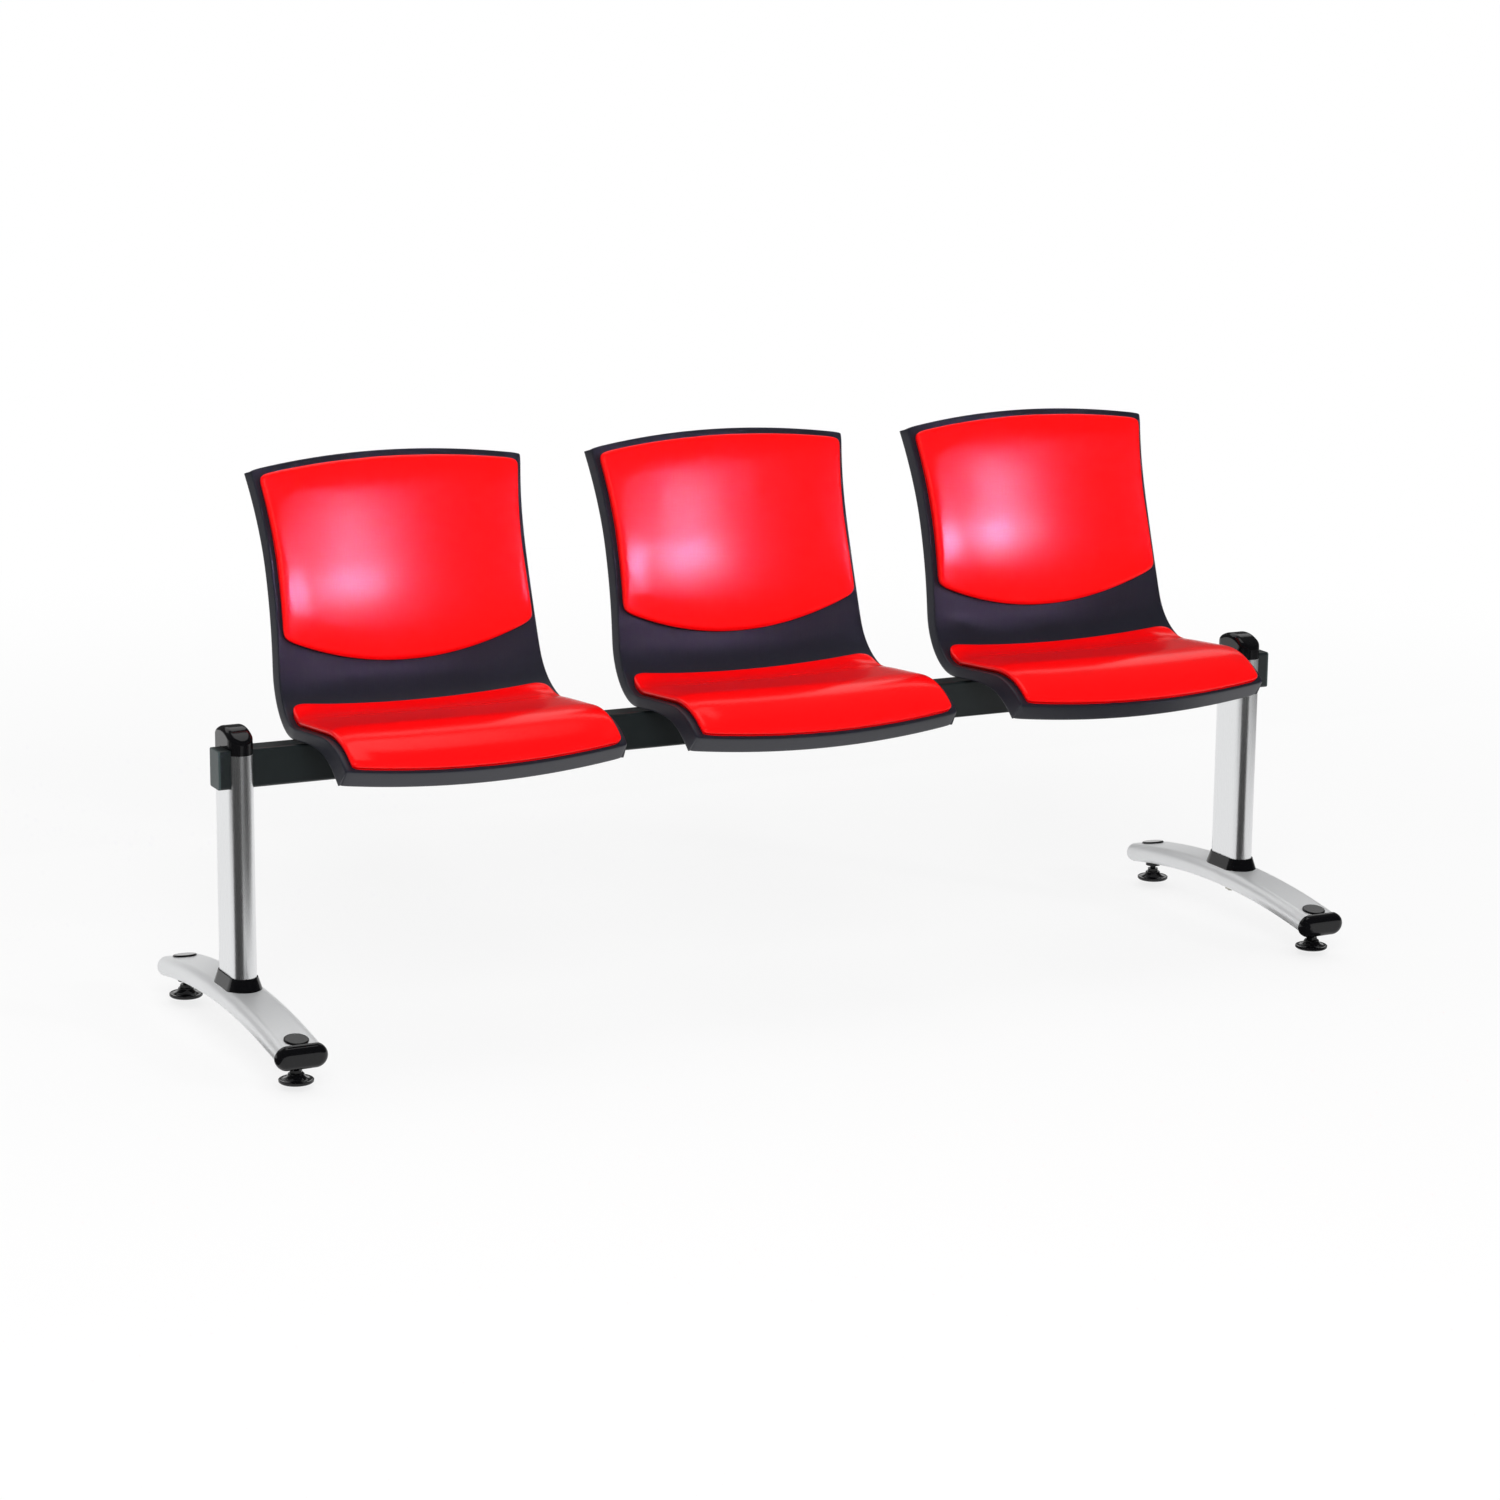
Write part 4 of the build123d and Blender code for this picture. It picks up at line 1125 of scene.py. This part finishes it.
def studio_world(scene):
    """White to the camera, a dim room in front of the bench to reflections, soft even light otherwise."""
    world = bpy.data.worlds.new("studio")
    scene.world = world
    world.use_nodes = True
    tree = world.node_tree
    rays = add(tree, "ShaderNodeLightPath").outputs
    aim = add(tree, "ShaderNodeTexCoord")
    axes = add(tree, "ShaderNodeSeparateXYZ", {0: aim.outputs["Generated"]})
    room = add(
        tree,
        "ShaderNodeMapRange",
        {"Value": axes.outputs["Y"], "From Min": -0.35, "From Max": 0.25, "To Min": 0.03, "To Max": 0.1},
        interpolation_type="SMOOTHSTEP",
    )
    soft = add(
        tree, "ShaderNodeMix", {"Factor": rays["Is Glossy Ray"], 2: 0.6, 3: room.outputs["Result"]}
    )
    level = add(tree, "ShaderNodeMix", {"Factor": rays["Is Camera Ray"], 2: soft.outputs[0], 3: 1.0})
    back = tree.nodes["Background"]
    back.inputs["Color"].default_value = (1, 1, 1, 1)
    tree.links.new(level.outputs[0], back.inputs["Strength"])


def photo_camera(scene):
    """Camera at the photograph's viewing angle."""
    yaw, pitch, roll = 0.46175, 0.22399, 0.00973
    forward = Vector(
        (math.sin(yaw) * math.cos(pitch), math.cos(yaw) * math.cos(pitch), -math.sin(pitch))
    )
    level = Vector((math.cos(yaw), -math.sin(yaw), 0))
    upward = level.cross(forward)
    right = math.cos(roll) * level + math.sin(roll) * upward
    top = right.cross(forward)
    lens = bpy.data.cameras.new("photo_camera")
    lens.sensor_width = 36
    lens.lens = 99.92
    lens.clip_end = 100
    camera = bpy.data.objects.new("photo_camera", lens)
    turn = Matrix((right, top, -forward)).transposed()
    camera.matrix_world = Matrix.Translation(CAMERA_PLACE) @ turn.to_4x4()
    scene.collection.objects.link(camera)
    scene.camera = camera


class BENCH_PT_panel(bpy.types.Panel):
    """Settings and steps of the bench"""

    bl_idname = "BENCH_PT_panel"
    bl_label = "Waiting bench"
    bl_space_type = "VIEW_3D"
    bl_region_type = "UI"
    bl_category = "Bench"

    def draw(self, context):
        for group in (context.scene.bench_sizes, context.scene.bench_colours):
            for key in group.__annotations__:
                self.layout.prop(group, key)
        for step in STEPS:
            self.layout.operator(step.bl_idname)


STEPS = (
    BENCH_OT_finishes,
    BENCH_OT_shells,
    BENCH_OT_back_pads,
    BENCH_OT_seat_pads,
    BENCH_OT_stems,
    BENCH_OT_stage,
)
CLASSES = (BenchSizes, BenchColours) + STEPS + (BENCH_PT_panel,)


def register():
    """Register the classes and hang the settings on the scene."""
    for made in CLASSES:
        bpy.utils.register_class(made)
    bpy.types.Scene.bench_sizes = PointerProperty(type=BenchSizes)
    bpy.types.Scene.bench_colours = PointerProperty(type=BenchColours)


def unregister():
    """Undo register."""
    del bpy.types.Scene.bench_colours
    del bpy.types.Scene.bench_sizes
    for made in reversed(CLASSES):
        bpy.utils.unregister_class(made)


def main():
    """Dress the bench and set up the studio."""
    register()
    for default in [o for o in bpy.data.objects if o.name in ("Cube", "Light", "Camera")]:
        bpy.data.objects.remove(default)
    bpy.ops.bench.finishes()
    bpy.ops.bench.shells()
    bpy.ops.bench.back_pads()
    bpy.ops.bench.seat_pads()
    bpy.ops.bench.stems()
    bpy.ops.bench.stage()
    bpy.context.view_layer.update()


if __name__ == "__main__":
    main()
